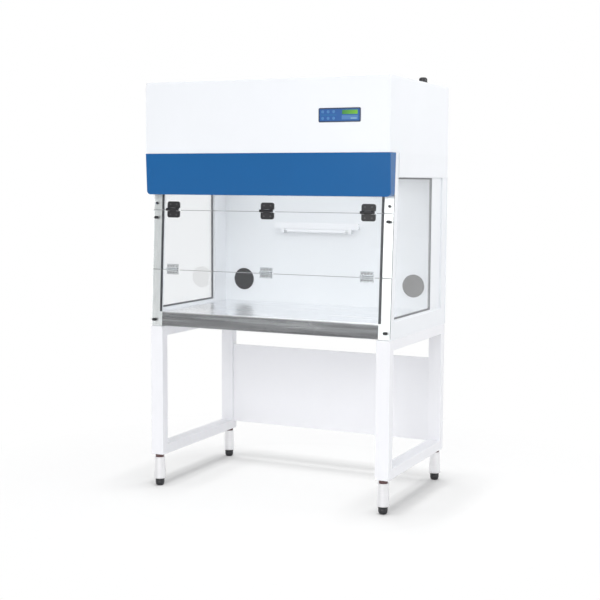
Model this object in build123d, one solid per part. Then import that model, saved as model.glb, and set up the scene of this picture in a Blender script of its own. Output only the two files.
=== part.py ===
from build123d import *
import math
import os

# Laminar flow hood: a powder-coated sheet-steel cabinet with a bi-fold acrylic sash,
# on a welded tube stand with four levelling feet. Millimetres, +Z up, front towards -Y,
# origin on the floor under the middle of the object.

# Overall sizes of the cabinet and the stand
overall_width = 1035.0
overall_depth = 655.0
leg_length = 525.0
foot_height = 130.0

# Sheet metal and clearances
sheet = 1.5
seam_gap = 0.4
bend_radius = 2.0
running_gap = 0.05
loose_gap = 0.3

# Hood
hood_inset = 2.0
hood_height = 277.0
roof_skirt = 17.0
roof_edge_radius = 7.0
roof_corner_radius = 6.0
cover_return = 25.0
cover_setback = 2.0

# Fascia
fascia_height = 160.0
fascia_wall = 2.0
fascia_lean = 8.0
fascia_corner_radius = 15.0
fascia_edge_radius = 3.0
fascia_bottom_lip = 36.0

# Control panel on the front cover
control_inset = 198.5
control_centre_drop = 141.0
control_width = 168.0
control_height = 52.0
control_thickness = 1.0
control_corner_radius = 5.0
display_width = 62.0
display_height = 15.0
display_offset_x = 41.0
display_offset_z = 10.0
display_depth = 0.6
key_diameter = 11.0
key_rise = 0.8
key_pitch_x = 22.0
key_pitch_z = 24.0
key_columns = 3
key_rows = 2
key_offset_x = -45.0
controller_width = 188.0
controller_depth = 45.0
controller_height = 76.0

# Side frames with their windows
frame_thickness = 32.5
skirt_rise = 3.0
skirt_height = 90.0
window_height = 526.0
window_sill = 71.0
window_post = 35.0
window_rear = 158.0
rear_recess_end = 52.0
recess_depth = 8.0
pane_thickness = 5.0
seal_width = 6.0
strip_width = 40.0
seal_strip_width = 10.0
seal_strip_start = 60.0
sill_bevel = 8.0

# Work chamber
worktop_height = 60.0
worktop_bend = 4.0
wall_gap = 58.0
lip_bottom = 3.0
port_inset = 91.0
port_centre_z = 154.5
port_radius = 40.0
port_wall = 3.0
plug_flange_radius = 47.0
plug_flange_thickness = 4.0
plug_length = 24.0

# Ceiling with the filter
ceiling_rise = 3.0
ceiling_rail = 26.0
filter_height = 70.0
filter_wall = 22.0
diffuser_slot_length = 60.0
diffuser_slot_width = 26.0
diffuser_bridge_x = 22.0
diffuser_bridge_y = 26.0
diffuser_margin = 20.0

# Fan, hung from the intake box
intake_width = 360.0
intake_depth = 62.0
prefilter_height = 46.0
grille_opening = 300.0
grille_border = 20.0
grille_slots = 14
grille_slot_width = 12.0
inlet_radius = 78.0
inlet_flange_radius = 118.0
inlet_depth = 30.0
bell_depth = 10.0
bell_flare = 12.0
eye_radius = 82.0
impeller_radius = 125.0
impeller_height = 74.0
impeller_plate = 3.0
impeller_top_gap = 2.0
blade_count = 7
blade_thickness = 2.5
hub_radius = 30.0
motor_radius = 52.0
motor_height = 58.0
shaft_radius = 6.0
bracket_plate = 4.0
bracket_rod_radius = 5.0
bracket_rod_offset = 112.0

# Lamp behind the fascia
batten_inset = 40.5
batten_depth = 28.0
batten_height = 34.0
holder_width = 12.0
lamp_radius = 8.0
lamp_clearance = 4.0
batten_rise = 32.0

# Ultraviolet lamp on the back wall
uv_centre_x = -40.0
uv_drop = 208.0
uv_base_length = 392.0
uv_base_depth = 16.0
uv_base_height = 26.0
uv_holder_width = 14.0
uv_tube_radius = 8.0
uv_tube_length = 300.0

# Gland on the roof
gland_inset = 45.5
gland_setback = 185.0
gland_radius = 19.0
gland_height = 26.0
gland_nut_height = 7.0

# Sash: three acrylic panels in one leaning plane
sash_lean = 3.0
sash_foot = 25.0
acrylic = 6.0
flange_gap = 2.0
panel_gap = 2.0
panel_side_inset = 2.5
sash_bottom = 3.0
swing_drop = 132.0
fold_offset = 4.5
sash_top_gap = 4.0
screw_rise = 24.5
screw_inset = 18.5
panel_corner = 3.0
screw_shank_radius = 2.5
screw_head_radius = 5.5
screw_head_height = 3.0

# Hinges: the same barrel form in two sizes
hinge_inset = 98.5
black_leaf_width = 56.0
black_leaf_height = 32.0
black_leaf_thickness = 5.0
black_barrel_radius = 5.5
black_axis_offset = 6.0
black_leaf_corner = 9.0
clear_leaf_width = 52.0
clear_leaf_height = 21.0
clear_leaf_thickness = 2.5
clear_barrel_radius = 4.5
clear_axis_offset = 5.5
clear_leaf_corner = 2.0
pin_radius = 2.0
knuckle_gap = 0.4

# Catches that meet when the bottom panel is folded up
catch_inset = 18.5
catch_drop = 32.5
catch_width = 18.0
catch_length = 11.0
catch_height = 5.2

# Stand
leg_width = 55.0
leg_depth = 40.0
rail_height = 40.0
rear_leg_inset = 4.0
tube_wall = 2.0
tube_corner = 3.0
rear_panel_height = 346.0
rear_panel_drop = 144.0
rear_panel_flange = 18.0
bolt_radius = 4.0
bolt_head_radius = 7.5
bolt_head_height = 5.0

# Levelling feet
collar_radius = 17.0
collar_height = 12.0
sleeve_top_radius = 20.5
sleeve_bottom_radius = 23.5
sleeve_height = 89.0
sleeve_bottom_round = 4.0
pad_radius = 18.0
pad_neck_radius = 16.5
stem_radius = 8.0
stem_length = 60.0
socket_depth = 85.0

# Places worked out from the sizes above
front = -overall_depth / 2
rear = overall_depth / 2
base = foot_height + leg_length
side = overall_width / 2 - hood_inset
inner_side = side - frame_thickness
ceiling_height = window_sill + window_height + ceiling_rise
ceiling = base + ceiling_height
hood_bottom = base + window_sill + window_height + skirt_height
top = hood_bottom + hood_height
roof_seam = top - roof_skirt
fascia_top = hood_bottom - seam_gap
fascia_bottom = fascia_top - fascia_height
worktop_top = base + worktop_height
back_wall_front = rear - wall_gap
slope = math.tan(math.radians(sash_lean))
flange_back = acrylic + flange_gap
strip_inner = side - strip_width
seal_inner = strip_inner - seal_strip_width
swing_line = ceiling_height - swing_drop
fold_line = (sash_bottom + swing_line) / 2 - fold_offset
sash_top = ceiling_height - sash_top_gap
screw_line = swing_line + screw_rise
screw_x = side - screw_inset
hinge_x = side - hinge_inset
catch_x = side - catch_inset
catch_line = swing_line - catch_drop
port_x = inner_side - port_inset
control_x = side - control_inset
gland_x = side - gland_inset
gland_y = rear - gland_setback
fan_y = 0.0
leg_x = side - leg_width / 2
front_leg_y = front + sash_foot + leg_depth / 2
rear_leg_y = rear - rear_leg_inset - leg_depth / 2


def block(x0, x1, y0, y1, z0, z1):
    """A box from its lowest to its highest corner."""
    return Pos((x0 + x1) / 2, (y0 + y1) / 2, (z0 + z1) / 2) * Box(x1 - x0, y1 - y0, z1 - z0)


def rod(x, y, z0, z1, radius):
    """An upright cylinder."""
    return Pos(x, y, (z0 + z1) / 2) * Cylinder(radius, z1 - z0)


def rod_y(x, z, y0, y1, radius):
    """A cylinder along Y."""
    return Pos(x, (y0 + y1) / 2, z) * Rot(90, 0, 0) * Cylinder(radius, y1 - y0)


def rod_x(x0, x1, y, z, radius):
    """A cylinder along X."""
    return Pos((x0 + x1) / 2, y, z) * Rot(0, 90, 0) * Cylinder(radius, x1 - x0)


def side_profile(points, x0, x1):
    """A prism along X whose outline is given in Y and Z."""
    face = Plane.YZ * make_face(Polyline(*points, close=True))
    return Pos(x0, 0, 0) * extrude(face, amount=x1 - x0)


def on_sash(shape):
    """Moves a shape from the sash's own frame, X across, Y into the cabinet and Z up the panel."""
    return Pos(0, front + sash_foot, base) * Rot(-sash_lean, 0, 0) * shape


def sash_y(height, depth=0.0):
    """Y of the sash plane, depth behind its outer face, at a height above the cabinet's base."""
    return front + sash_foot + height * slope + depth / math.cos(math.radians(sash_lean))


def mirrored(shape):
    """The same piece on the left side."""
    return mirror(shape, about=Plane.YZ)


def group(shapes):
    """Separate solids that share one node."""
    return Compound(children=[solid for shape in shapes for solid in shape.solids()])


# Hood


def hood_casing():
    """Two sides, a back and a turned-in foot flange, folded from one sheet."""
    depth0 = front + cover_setback + sheet + seam_gap
    outer = block(-side, side, depth0, rear, hood_bottom, roof_seam)
    outer = fillet(outer.edges().filter_by(Axis.Z).group_by(Axis.Y)[-1], bend_radius)
    inside = block(-side + sheet, side - sheet, depth0, rear - sheet, hood_bottom, roof_seam)
    flange_hole = block(-inner_side, inner_side, depth0, back_wall_front, hood_bottom, hood_bottom + sheet)
    inside -= block(-side, side, depth0, rear, hood_bottom, hood_bottom + sheet)
    return outer - inside - flange_hole


def hood_front_cover():
    """A tray: the front plate with side returns that tuck inside the casing."""
    face0 = front + cover_setback
    plate = block(-side, side, face0, face0 + sheet, hood_bottom, roof_seam)
    returns = [
        block(s * (side - sheet) - (sheet if s > 0 else 0), s * (side - sheet) + (0 if s > 0 else sheet),
              face0 + sheet, face0 + cover_return, hood_bottom + sheet, roof_seam)
        for s in (-1, 1)
    ]
    cover = plate + returns[0] + returns[1]
    return fillet(cover.edges().filter_by(Axis.Z).group_by(Axis.Y)[0], bend_radius / 2)


def roof_panel():
    """A lid with rounded edges and an opening for the intake grille."""
    lid = Pos(0, (front + cover_setback + rear) / 2, (roof_seam + top) / 2) * Box(
        2 * side, overall_depth - cover_setback, roof_skirt)
    lid = fillet(lid.edges().filter_by(Axis.Z), roof_corner_radius)
    lid = fillet(lid.faces().sort_by(Axis.Z)[-1].edges(), roof_edge_radius)
    lid = offset(lid, amount=-sheet, openings=[lid.faces().sort_by(Axis.Z)[0]])
    half = grille_opening / 2
    lid -= block(-half, half, fan_y - half, fan_y + half, top - 2 * sheet, top + sheet)
    lid -= rod(gland_x, gland_y, top - 2 * sheet, top + sheet, gland_radius / 2)
    return lid


def prefilter_grille():
    """A slotted plate over the roof opening, with a locating rim inside it."""
    half = grille_opening / 2 + grille_border
    plate = block(-half, half, fan_y - half, fan_y + half, top, top + sheet)
    plate = fillet(plate.edges().filter_by(Axis.Z), grille_border / 2)
    rim = grille_opening / 2 - loose_gap
    ring = block(-rim, rim, fan_y - rim, fan_y + rim, top - 6 * sheet, top)
    ring -= block(-rim + sheet, rim - sheet, fan_y - rim + sheet, fan_y + rim - sheet, top - 6 * sheet, top)
    pitch = (grille_opening - grille_border) / grille_slots
    slot_length = grille_opening - 2 * grille_border
    slot = Box(slot_length, grille_slot_width, 3 * sheet)
    for index in range(grille_slots):
        y = fan_y + (index - (grille_slots - 1) / 2) * pitch
        plate -= Pos(0, y, top + sheet / 2) * slot
    return plate + ring


def intake_box():
    """The tray under the roof that holds the prefilter and carries the fan."""
    half = intake_width / 2
    floor_z = top - sheet - intake_depth
    tray = block(-half, half, fan_y - half, fan_y + half, floor_z, top - sheet)
    tray -= block(-half + sheet, half - sheet, fan_y - half + sheet, fan_y + half - sheet,
                  floor_z + sheet, top - sheet)
    return tray - rod(0, fan_y, floor_z - sheet, floor_z + 2 * sheet, inlet_radius + bell_flare)


def prefilter():
    """A pleated pad that drops into the intake box: a frame with sloping pleats."""
    half = intake_width / 2 - sheet - loose_gap
    floor_z = top - sheet - intake_depth + sheet
    pad = block(-half, half, fan_y - half, fan_y + half, floor_z, floor_z + prefilter_height)
    pleats = 16
    pitch = (2 * half - 2 * grille_border) / pleats
    depth = prefilter_height / 3
    groove = make_face(Polyline((-pitch / 2, 0), (0, -depth), (pitch / 2, 0), close=True))
    groove = extrude(Plane.XZ * groove, amount=half - grille_border, both=True)
    for index in range(pleats):
        x = (index - (pleats - 1) / 2) * pitch
        pad -= Pos(x, fan_y, floor_z + prefilter_height) * groove
    return pad


deck = top - sheet - intake_depth
impeller_top = deck - bell_depth - impeller_top_gap
impeller_bottom = impeller_top - impeller_height
bracket_top = impeller_bottom - motor_height


def fan_inlet_ring():
    """A spun bell-mouth that leads the air into the impeller's eye."""
    mouth = inlet_radius + bell_flare
    profile = Polyline((mouth, 0), (inlet_flange_radius, 0), (inlet_flange_radius, -sheet),
                       (mouth, -sheet), (inlet_radius, -bell_depth), (inlet_radius, -inlet_depth),
                       (inlet_radius - sheet, -inlet_depth), (inlet_radius - sheet, sheet / 2 - bell_depth),
                       (mouth - sheet, 0), close=True)
    ring = revolve(Plane.XZ * make_face(profile), Axis.Z)
    return Pos(0, fan_y, deck) * ring


def fan_impeller():
    """Backward-curved blades between a back plate and a shroud, on a hub."""
    back = rod(0, 0, 0, impeller_plate, impeller_radius)
    hub = rod(0, 0, 0, impeller_height / 3, hub_radius)
    shroud = rod(0, 0, impeller_height - impeller_plate, impeller_height, impeller_radius)
    shroud -= rod(0, 0, 0, impeller_height, eye_radius)
    inner = eye_radius + 2
    outer = impeller_radius - 1
    sweep_angle = 38.0
    start = Vector(inner, 0)
    end = Vector(outer, 0).rotate(Axis.Z, -sweep_angle)
    middle = Vector((inner + outer) / 2 + 3, 0).rotate(Axis.Z, -sweep_angle * 0.36)
    camber = ThreePointArc(start, middle, end)
    blade = offset(camber, amount=blade_thickness / 2, side=Side.BOTH)
    blade = extrude(make_face(blade), amount=impeller_height - 2 * impeller_plate)
    blade = Pos(0, 0, impeller_plate) * blade
    wheel = back + hub + shroud
    for index in range(blade_count):
        wheel += Rot(0, 0, index * 360 / blade_count) * blade
    wheel -= rod(0, 0, -1, impeller_height, shaft_radius + running_gap)
    return Pos(0, fan_y, impeller_bottom) * wheel


def fan_motor():
    """A short motor with its shaft up through the impeller's hub."""
    body = rod(0, fan_y, bracket_top, impeller_bottom - 2, motor_radius)
    body = fillet(body.edges().filter_by(GeomType.CIRCLE).sort_by(Axis.Z)[-1:], 5)
    return body + rod(0, fan_y, impeller_bottom - 3, impeller_bottom + impeller_height / 3, shaft_radius)


def motor_bracket():
    """A plate on four spacer rods that hang from the intake box."""
    reach = bracket_rod_offset + 3 * bracket_rod_radius
    plate = block(-reach, reach, fan_y - reach, fan_y + reach, bracket_top - bracket_plate, bracket_top)
    plate = fillet(plate.edges().filter_by(Axis.Z), 3 * bracket_rod_radius)
    for x in (-bracket_rod_offset, bracket_rod_offset):
        for y in (-bracket_rod_offset, bracket_rod_offset):
            plate += rod(x, fan_y + y, bracket_top, deck, bracket_rod_radius)
    return plate


def fascia():
    """The blue front moulding: a leaning face, closed ends and a lip below, open behind."""
    depth_top = sash_y(fascia_top - base, -panel_side_inset)
    depth_bottom = sash_y(fascia_bottom - base, -panel_side_inset)
    half = overall_width / 2
    outline = [(front, fascia_top), (front + fascia_lean, fascia_bottom),
               (depth_bottom, fascia_bottom), (depth_top, fascia_top)]
    body = side_profile(outline, -half, half)
    lower = body.edges().filter_by(Axis.Y, tolerance=30).group_by(Axis.Z)[0]
    body = fillet(lower, fascia_corner_radius)
    body = fillet(body.faces().sort_by(Axis.Y)[0].edges(), fascia_edge_radius)
    wall = fascia_wall
    inner = [(front + wall, fascia_top - wall), (front + fascia_lean + wall, fascia_bottom + wall),
             (depth_bottom + 10, fascia_bottom + wall), (depth_top + 10, fascia_top - wall)]
    cavity = side_profile(inner, -half + wall, half - wall)
    lower = cavity.edges().filter_by(Axis.Y, tolerance=30).group_by(Axis.Z)[0]
    cavity = fillet(lower, fascia_corner_radius - wall)
    shell = body - cavity
    back_edge = front + fascia_lean + fascia_bottom_lip
    shell -= block(-strip_inner, strip_inner, back_edge, rear, fascia_bottom - 1, fascia_bottom + wall)
    rail_front = header_front()
    return shell + block(-inner_side, inner_side, front + wall, rail_front, fascia_top - wall, fascia_top)


# Controls


def control_place(x, depth, z):
    """A point on the control panel, from its centre and from the cover's face."""
    return Pos(control_x + x, front + cover_setback - depth, top - control_centre_drop + z)


def control_overlay():
    """A one-piece film panel with a raised frame and a window for the display."""
    plate = Box(control_width, control_thickness, control_height)
    plate = fillet(plate.edges().filter_by(Axis.Y), control_corner_radius)
    window = Pos(display_offset_x, 0, display_offset_z) * Box(
        display_width + 2 * running_gap, 2 * control_thickness, display_height + 2 * running_gap)
    return control_place(0, control_thickness / 2, 0) * (plate - window)


def display_window():
    """The display's lens, set a little below the film."""
    lens = Box(display_width, display_depth, display_height)
    return control_place(display_offset_x, display_depth / 2, display_offset_z) * lens


def control_keys():
    """Low domes of the film over the switches."""
    keys = []
    for column in range(key_columns):
        for row in range(key_rows):
            x = key_offset_x + (column - (key_columns - 1) / 2) * key_pitch_x
            z = (row - (key_rows - 1) / 2) * key_pitch_z
            dome = Rot(90, 0, 0) * Cylinder(key_diameter / 2, key_rise)
            dome = chamfer(dome.faces().sort_by(Axis.Y)[0].edges(), key_rise / 2)
            keys.append(control_place(x, control_thickness + key_rise / 2, z) * dome)
    return group(keys)


def controller_box():
    """The electronics housing on the back of the front cover."""
    inner = front + cover_setback + sheet
    z = top - control_centre_drop
    box = block(control_x - controller_width / 2, control_x + controller_width / 2,
                inner, inner + controller_depth, z - controller_height / 2, z + controller_height / 2)
    return fillet(box.edges().filter_by(Axis.Y), 3)


def cable_gland():
    """A domed gland with its nut, through the roof."""
    nut = extrude(RegularPolygon(gland_radius, 6), amount=gland_nut_height)
    body = Cylinder(gland_radius * 0.86, gland_height - gland_nut_height,
                    align=(Align.CENTER, Align.CENTER, Align.MIN))
    body = fillet(body.edges().filter_by(GeomType.CIRCLE).sort_by(Axis.Z)[-1:], gland_radius * 0.5)
    body = Pos(0, 0, gland_nut_height) * body
    stem = Pos(0, 0, -12) * Cylinder(gland_radius / 2 - running_gap, 12,
                                     align=(Align.CENTER, Align.CENTER, Align.MIN))
    return Pos(gland_x, gland_y, top) * (nut + body + stem)


# Side frames and windows


def window_outline(grow=0.0):
    """The window's corners in Y and Z, its front edge parallel to the sash."""
    low = base + window_sill - grow
    high = base + window_sill + window_height + grow
    near = flange_back + window_post - grow
    return [(sash_y(low - base, near), low), (rear - window_rear + grow, low),
            (rear - window_rear + grow, high), (sash_y(high - base, near), high)]


def frame_outline(shrink=0.0):
    """The side frame's corners in Y and Z, its front edge behind the sash rail."""
    low = base + shrink
    high = hood_bottom - shrink
    near = flange_back + sheet + shrink
    return [(sash_y(low - base, near), low), (rear - sheet - shrink, low),
            (rear - sheet - shrink, high), (sash_y(high - base, near), high)]


def side_frame_right():
    """A hollow welded frame round the window."""
    skin = side - skirt_rise
    body = side_profile(frame_outline(), inner_side, skin)
    cavity_outline = frame_outline(sheet)
    cavity_outline[1] = (rear + 1, cavity_outline[1][1])
    cavity_outline[2] = (rear + 1, cavity_outline[2][1])
    rebate = recess_depth + sheet
    cavity = side_profile(cavity_outline, inner_side + sheet, skin - rebate)
    front_cavity = list(cavity_outline)
    front_cavity[1] = (sash_y(0, flange_back + window_post - sheet), cavity_outline[1][1])
    front_cavity[2] = (sash_y(hood_bottom - base, flange_back + window_post - sheet), cavity_outline[2][1])
    cavity += side_profile(front_cavity, inner_side + sheet, skin - sheet)
    cavity -= side_profile(window_outline(sheet), 0, side)
    body -= cavity
    body -= side_profile(window_outline(), 0, side + 1)
    high = base + window_sill + window_height
    low = base + window_sill
    recess = block(skin - recess_depth, side + 1, rear - window_rear - 1, rear - rear_recess_end, low, high)
    body -= recess
    sill = side_profile([(sash_y(window_sill, flange_back + window_post), low),
                         (rear - rear_recess_end, low),
                         (rear - rear_recess_end, low - recess_depth),
                         (sash_y(window_sill, flange_back + window_post), low - recess_depth)],
                        skin - recess_depth, skin)
    wedge = Pos(skin, 0, low) * Rot(0, 45, 0) * Box(
        recess_depth * math.sqrt(2), 3 * overall_depth, recess_depth * math.sqrt(2))
    body -= sill & wedge
    skirt = block(skin, side, sash_y(high - base, flange_back + window_post), rear - sheet,
                  high + sheet, hood_bottom)
    return body + skirt


def sash_rail_right():
    """The steel strip along the frame's front edge that the sash closes against."""
    rail = block(seal_inner, side - skirt_rise, flange_back, flange_back + sheet, sheet,
                 ceiling_height / math.cos(math.radians(sash_lean)))
    hole = rod_y(screw_x, screw_line, flange_back - 1, flange_back + 2 * sheet,
                 screw_shank_radius + running_gap)
    return on_sash(rail - hole)


def side_window_right():
    """A tempered glass pane that fills the frame's opening."""
    x = side - skirt_rise - recess_depth - sheet
    return side_profile(window_outline(-loose_gap), x - pane_thickness, x)


def window_gasket_right():
    """A dark seal round the inner side of the pane."""
    x = side - skirt_rise - recess_depth - sheet - pane_thickness
    ring = side_profile(window_outline(-loose_gap), x - seal_width, x)
    ring -= side_profile(window_outline(-loose_gap - seal_width), x - 2 * seal_width, x + 1)
    return ring


def sash_seal_right():
    """A rubber strip on the flange, with a round stop at its foot."""
    depth0 = acrylic + loose_gap
    strip = block(seal_inner, strip_inner, depth0, flange_back, seal_strip_start, sash_top)
    return on_sash(strip)


# Work chamber


def worktop():
    """A steel sheet, bent down at the front into a lip that stands behind the sash."""
    lip_front = flange_back
    lip_half = seal_inner - loose_gap
    y_top = sash_y(worktop_height, lip_front)
    y_low = sash_y(lip_bottom, lip_front)
    z_low = base + lip_bottom
    outline = [(y_low, z_low), (y_top, worktop_top), (back_wall_front, worktop_top),
               (back_wall_front, worktop_top - sheet), (y_top + sheet, worktop_top - sheet),
               (y_low + sheet, z_low)]
    sheet_body = side_profile(outline, -lip_half, lip_half)
    bend = sheet_body.edges().filter_by(Axis.X).sort_by(
        lambda e: (e.center() - Vector(0, y_top, worktop_top)).length)
    sheet_body = fillet(bend[:1], worktop_bend)
    wide_start = sash_y(worktop_height, flange_back + 2 * sheet)
    wings = block(-inner_side + loose_gap, inner_side - loose_gap, wide_start + 2, back_wall_front,
                  worktop_top - sheet, worktop_top)
    return sheet_body + wings


def base_pan():
    """The cabinet's floor: a tray whose upturned edges carry the worktop."""
    half = inner_side
    y0 = sash_y(0, flange_back + 6 * sheet)
    y1 = rear - 2 * sheet
    tray = block(-half, half, y0, y1, base, worktop_top - sheet)
    tray -= block(-half + sheet, half - sheet, y0 + sheet, y1 - sheet, base + sheet, worktop_top)
    return tray


def back_wall():
    """The chamber's rear panel, with a welded sleeve round each port."""
    wall = block(-inner_side, inner_side, back_wall_front, back_wall_front + sheet,
                 worktop_top - sheet, ceiling)
    for x in (-port_x, port_x):
        wall -= rod_y(x, base + port_centre_z, back_wall_front - 1, rear, port_radius)
        sleeve = rod_y(x, base + port_centre_z, back_wall_front, rear - sheet, port_radius + port_wall)
        sleeve -= rod_y(x, base + port_centre_z, back_wall_front - 1, rear, port_radius)
        wall += sleeve
    return wall


def rear_cover():
    """The cabinet's outer back, open where the ports come through."""
    cover = block(-side, side, rear - sheet, rear, base, hood_bottom)
    for x in (-port_x, port_x):
        cover -= rod_y(x, base + port_centre_z, rear - 2 * sheet, rear + 1, port_radius)
    return cover


def port_plug(x):
    """A moulded plug: a flange with a raised rim and a hollow body in the port."""
    flange = rod_y(x, base + port_centre_z, back_wall_front - plug_flange_thickness, back_wall_front,
                   plug_flange_radius)
    dish = rod_y(x, base + port_centre_z, back_wall_front - plug_flange_thickness - 1,
                 back_wall_front - plug_flange_thickness + 1.2, plug_flange_radius - 6)
    rim = flange.edges().filter_by(GeomType.CIRCLE).sort_by(Axis.Y)[:1]
    flange = fillet(rim, 1.5) - dish
    body = rod_y(x, base + port_centre_z, back_wall_front - 0.5, back_wall_front + plug_length,
                 port_radius - loose_gap)
    body -= rod_y(x, base + port_centre_z, back_wall_front, back_wall_front + plug_length + 1,
                  port_radius - loose_gap - 2.5)
    return flange + body


def ceiling_frame():
    """A welded ring between the side frames: the filter's ledge and the front header rail."""
    y0 = header_front()
    y1 = back_wall_front + sheet
    ring = block(-inner_side, inner_side, y0, y1, ceiling, ceiling + 2 * sheet)
    ring -= block(-inner_side + filter_wall, inner_side - filter_wall, y0 + ceiling_rail,
                  y1 - filter_wall, ceiling - 1, ceiling + 3 * sheet)
    header = block(-inner_side, inner_side, y0, y0 + ceiling_rail, ceiling, hood_bottom)
    header -= block(-inner_side - 1, inner_side + 1, y0 + sheet, y0 + ceiling_rail - sheet,
                    ceiling + sheet, hood_bottom - sheet)
    return ring + header


def header_front():
    """Y of the header rail's face, behind the fixed panel's top edge."""
    return sash_y(hood_bottom - base, flange_back + sheet)


def hepa_frame():
    """The filter's rectangular casing."""
    z0 = ceiling + 2 * sheet
    y0 = header_front() + ceiling_rail + seam_gap
    y1 = back_wall_front + sheet
    half = inner_side - seam_gap
    frame = block(-half, half, y0, y1, z0, z0 + filter_height)
    return frame - block(-half + sheet * 2, half - sheet * 2, y0 + sheet * 2, y1 - sheet * 2,
                         z0 - 1, z0 + filter_height + 1)


def hepa_pack():
    """The pleated pack inside the casing, as its outer form."""
    z0 = ceiling + 2 * sheet
    y0 = header_front() + ceiling_rail + seam_gap + sheet * 2
    y1 = back_wall_front + sheet - sheet * 2
    half = inner_side - seam_gap - sheet * 2
    return block(-half, half, y0, y1, z0 + 4, z0 + filter_height - 4)


def diffuser_grille():
    """A slotted ceiling sheet under the filter."""
    y0 = header_front() + ceiling_rail
    y1 = back_wall_front
    plate = block(-inner_side + 1, inner_side - 1, y0, y1, ceiling - sheet, ceiling)
    slot = Box(diffuser_slot_length, diffuser_slot_width, 3 * sheet)
    pitch_x = diffuser_slot_length + diffuser_bridge_x
    pitch_y = diffuser_slot_width + diffuser_bridge_y
    columns = int((2 * (inner_side - diffuser_margin) + diffuser_bridge_x) / pitch_x)
    rows = int((y1 - y0 - 2 * diffuser_margin + diffuser_bridge_y) / pitch_y)
    centre = Pos(0, (y0 + y1) / 2, ceiling - sheet / 2)
    slots = [centre * place * slot for place in GridLocations(pitch_x, pitch_y, columns, rows)]
    return plate - slots


def lamp_batten():
    """The lamp's channel on the header rail, with a holder at each end."""
    y1 = header_front()
    z0 = ceiling + batten_rise
    half = (strip_inner - batten_inset)
    body = block(-half, half, y1 - batten_depth, y1, z0, z0 + batten_height)
    for s in (-1, 1):
        x0, x1 = sorted((s * half, s * (half - holder_width)))
        body += block(x0, x1, y1 - batten_depth, y1 - 4, z0 - 2 * lamp_radius - 2 * lamp_clearance, z0)
    return body


def lamp_tube():
    """A fluorescent tube between the holders."""
    half = (strip_inner - batten_inset) - holder_width
    y = header_front() - batten_depth + lamp_radius + 2
    return rod_x(-half, half, y, ceiling + batten_rise - lamp_radius - lamp_clearance, lamp_radius)


def uv_lamp_base():
    """The fitting on the back wall: a rounded channel with two holders."""
    y1 = back_wall_front
    half = uv_base_length / 2
    z = ceiling - uv_drop
    body = Pos(uv_centre_x, y1 - uv_base_depth / 2, z) * Box(uv_base_length, uv_base_depth, uv_base_height)
    body = fillet(body.edges().filter_by(Axis.Y), uv_base_height / 3)
    z_tube = z - uv_base_height / 2 - uv_tube_radius
    for s in (-1, 1):
        x = uv_centre_x + s * (uv_tube_length + uv_holder_width) / 2
        holder = Pos(x, y1 - uv_base_depth / 2 - 2, z_tube + 2) * Box(
            uv_holder_width, uv_base_depth + 4, 2 * uv_tube_radius + 8)
        body += holder
    return body


def uv_tube():
    """The ultraviolet tube below its fitting."""
    half = uv_tube_length / 2
    z = ceiling - uv_drop - uv_base_height / 2 - uv_tube_radius
    return rod_x(uv_centre_x - half, uv_centre_x + half, back_wall_front - uv_base_depth / 2 - 2, z,
                 uv_tube_radius)


# Sash


def sash_panel(low, high):
    """One acrylic panel across the full width, between two lines up the sash."""
    half = side - panel_side_inset + hood_inset / 2
    panel = block(-half, half, 0, acrylic, low, high)
    return fillet(panel.edges().filter_by(Axis.Y), panel_corner)


def sash_top_panel():
    """The fixed panel, screwed to the side flanges."""
    panel = sash_panel(swing_line + panel_gap / 2, sash_top)
    for x in (-screw_x, screw_x):
        panel -= rod_y(x, screw_line, -1, acrylic + 1, screw_shank_radius + running_gap)
    return on_sash(panel)


def sash_middle_panel():
    """The panel that swings out."""
    return on_sash(sash_panel(fold_line + panel_gap / 2, swing_line - panel_gap / 2))


def sash_bottom_panel():
    """The panel that folds up against the middle one."""
    return on_sash(sash_panel(sash_bottom, fold_line - panel_gap / 2))


def top_panel_screws():
    """Domed screws with their shanks through the panel into the flange."""
    screws = []
    for x in (-screw_x, screw_x):
        head = rod_y(x, screw_line, -screw_head_height, 0, screw_head_radius)
        head = fillet(head.edges().filter_by(GeomType.CIRCLE).sort_by(Axis.Y)[:1], 2)
        screws.append(on_sash(head + rod_y(x, screw_line, 0, flange_back + sheet, screw_shank_radius)))
    return group(screws)


def hinge_leaf(width, height, thickness, barrel, axis_offset, corner, spans, bore, up):
    """One leaf with its knuckles, the hinge line at Z = 0 and the panel's face at Y = 0."""
    near = math.sqrt(max((barrel + loose_gap) ** 2 - (axis_offset - thickness) ** 2, 1)) + loose_gap
    direction = 1 if up else -1
    low, high = sorted((direction * near, direction * height))
    leaf = block(-width / 2, width / 2, -thickness, 0, low, high)
    far = leaf.edges().filter_by(Axis.Y).group_by(Axis.Z)[-1 if up else 0]
    leaf = fillet(far, corner)
    for start, end in spans:
        neck = side_profile([(-thickness, direction * near), (0, direction * near),
                             (-axis_offset + barrel * 0.9, direction * barrel * 0.3),
                             (-axis_offset, 0), (-axis_offset - barrel * 0.7, direction * barrel * 0.6)],
                            start, end)
        leaf += neck + rod_x(start, end, -axis_offset, 0, barrel)
    for start, end in spans:
        leaf -= rod_x(start - 1, end + 1, -axis_offset, 0, bore)
    return leaf


def knuckle_spans(width, shift):
    """The outer pair and the middle knuckle along a hinge's barrel."""
    quarter = width / 4
    gap = knuckle_gap / 2
    left = -width / 2 + shift
    outer = [(left, left + quarter - gap), (left + 3 * quarter + gap, left + width)]
    inner = [(left + quarter + gap, left + 3 * quarter - gap)]
    return outer, inner


def hinge_row(line, leaf):
    """The same leaf at the three places along a hinge line."""
    return group([on_sash(Pos(x, 0, line) * leaf) for x in (-hinge_x, 0, hinge_x)])


black_spans = knuckle_spans(black_leaf_width, -4.0)
clear_spans = knuckle_spans(clear_leaf_width, 0.0)


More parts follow.
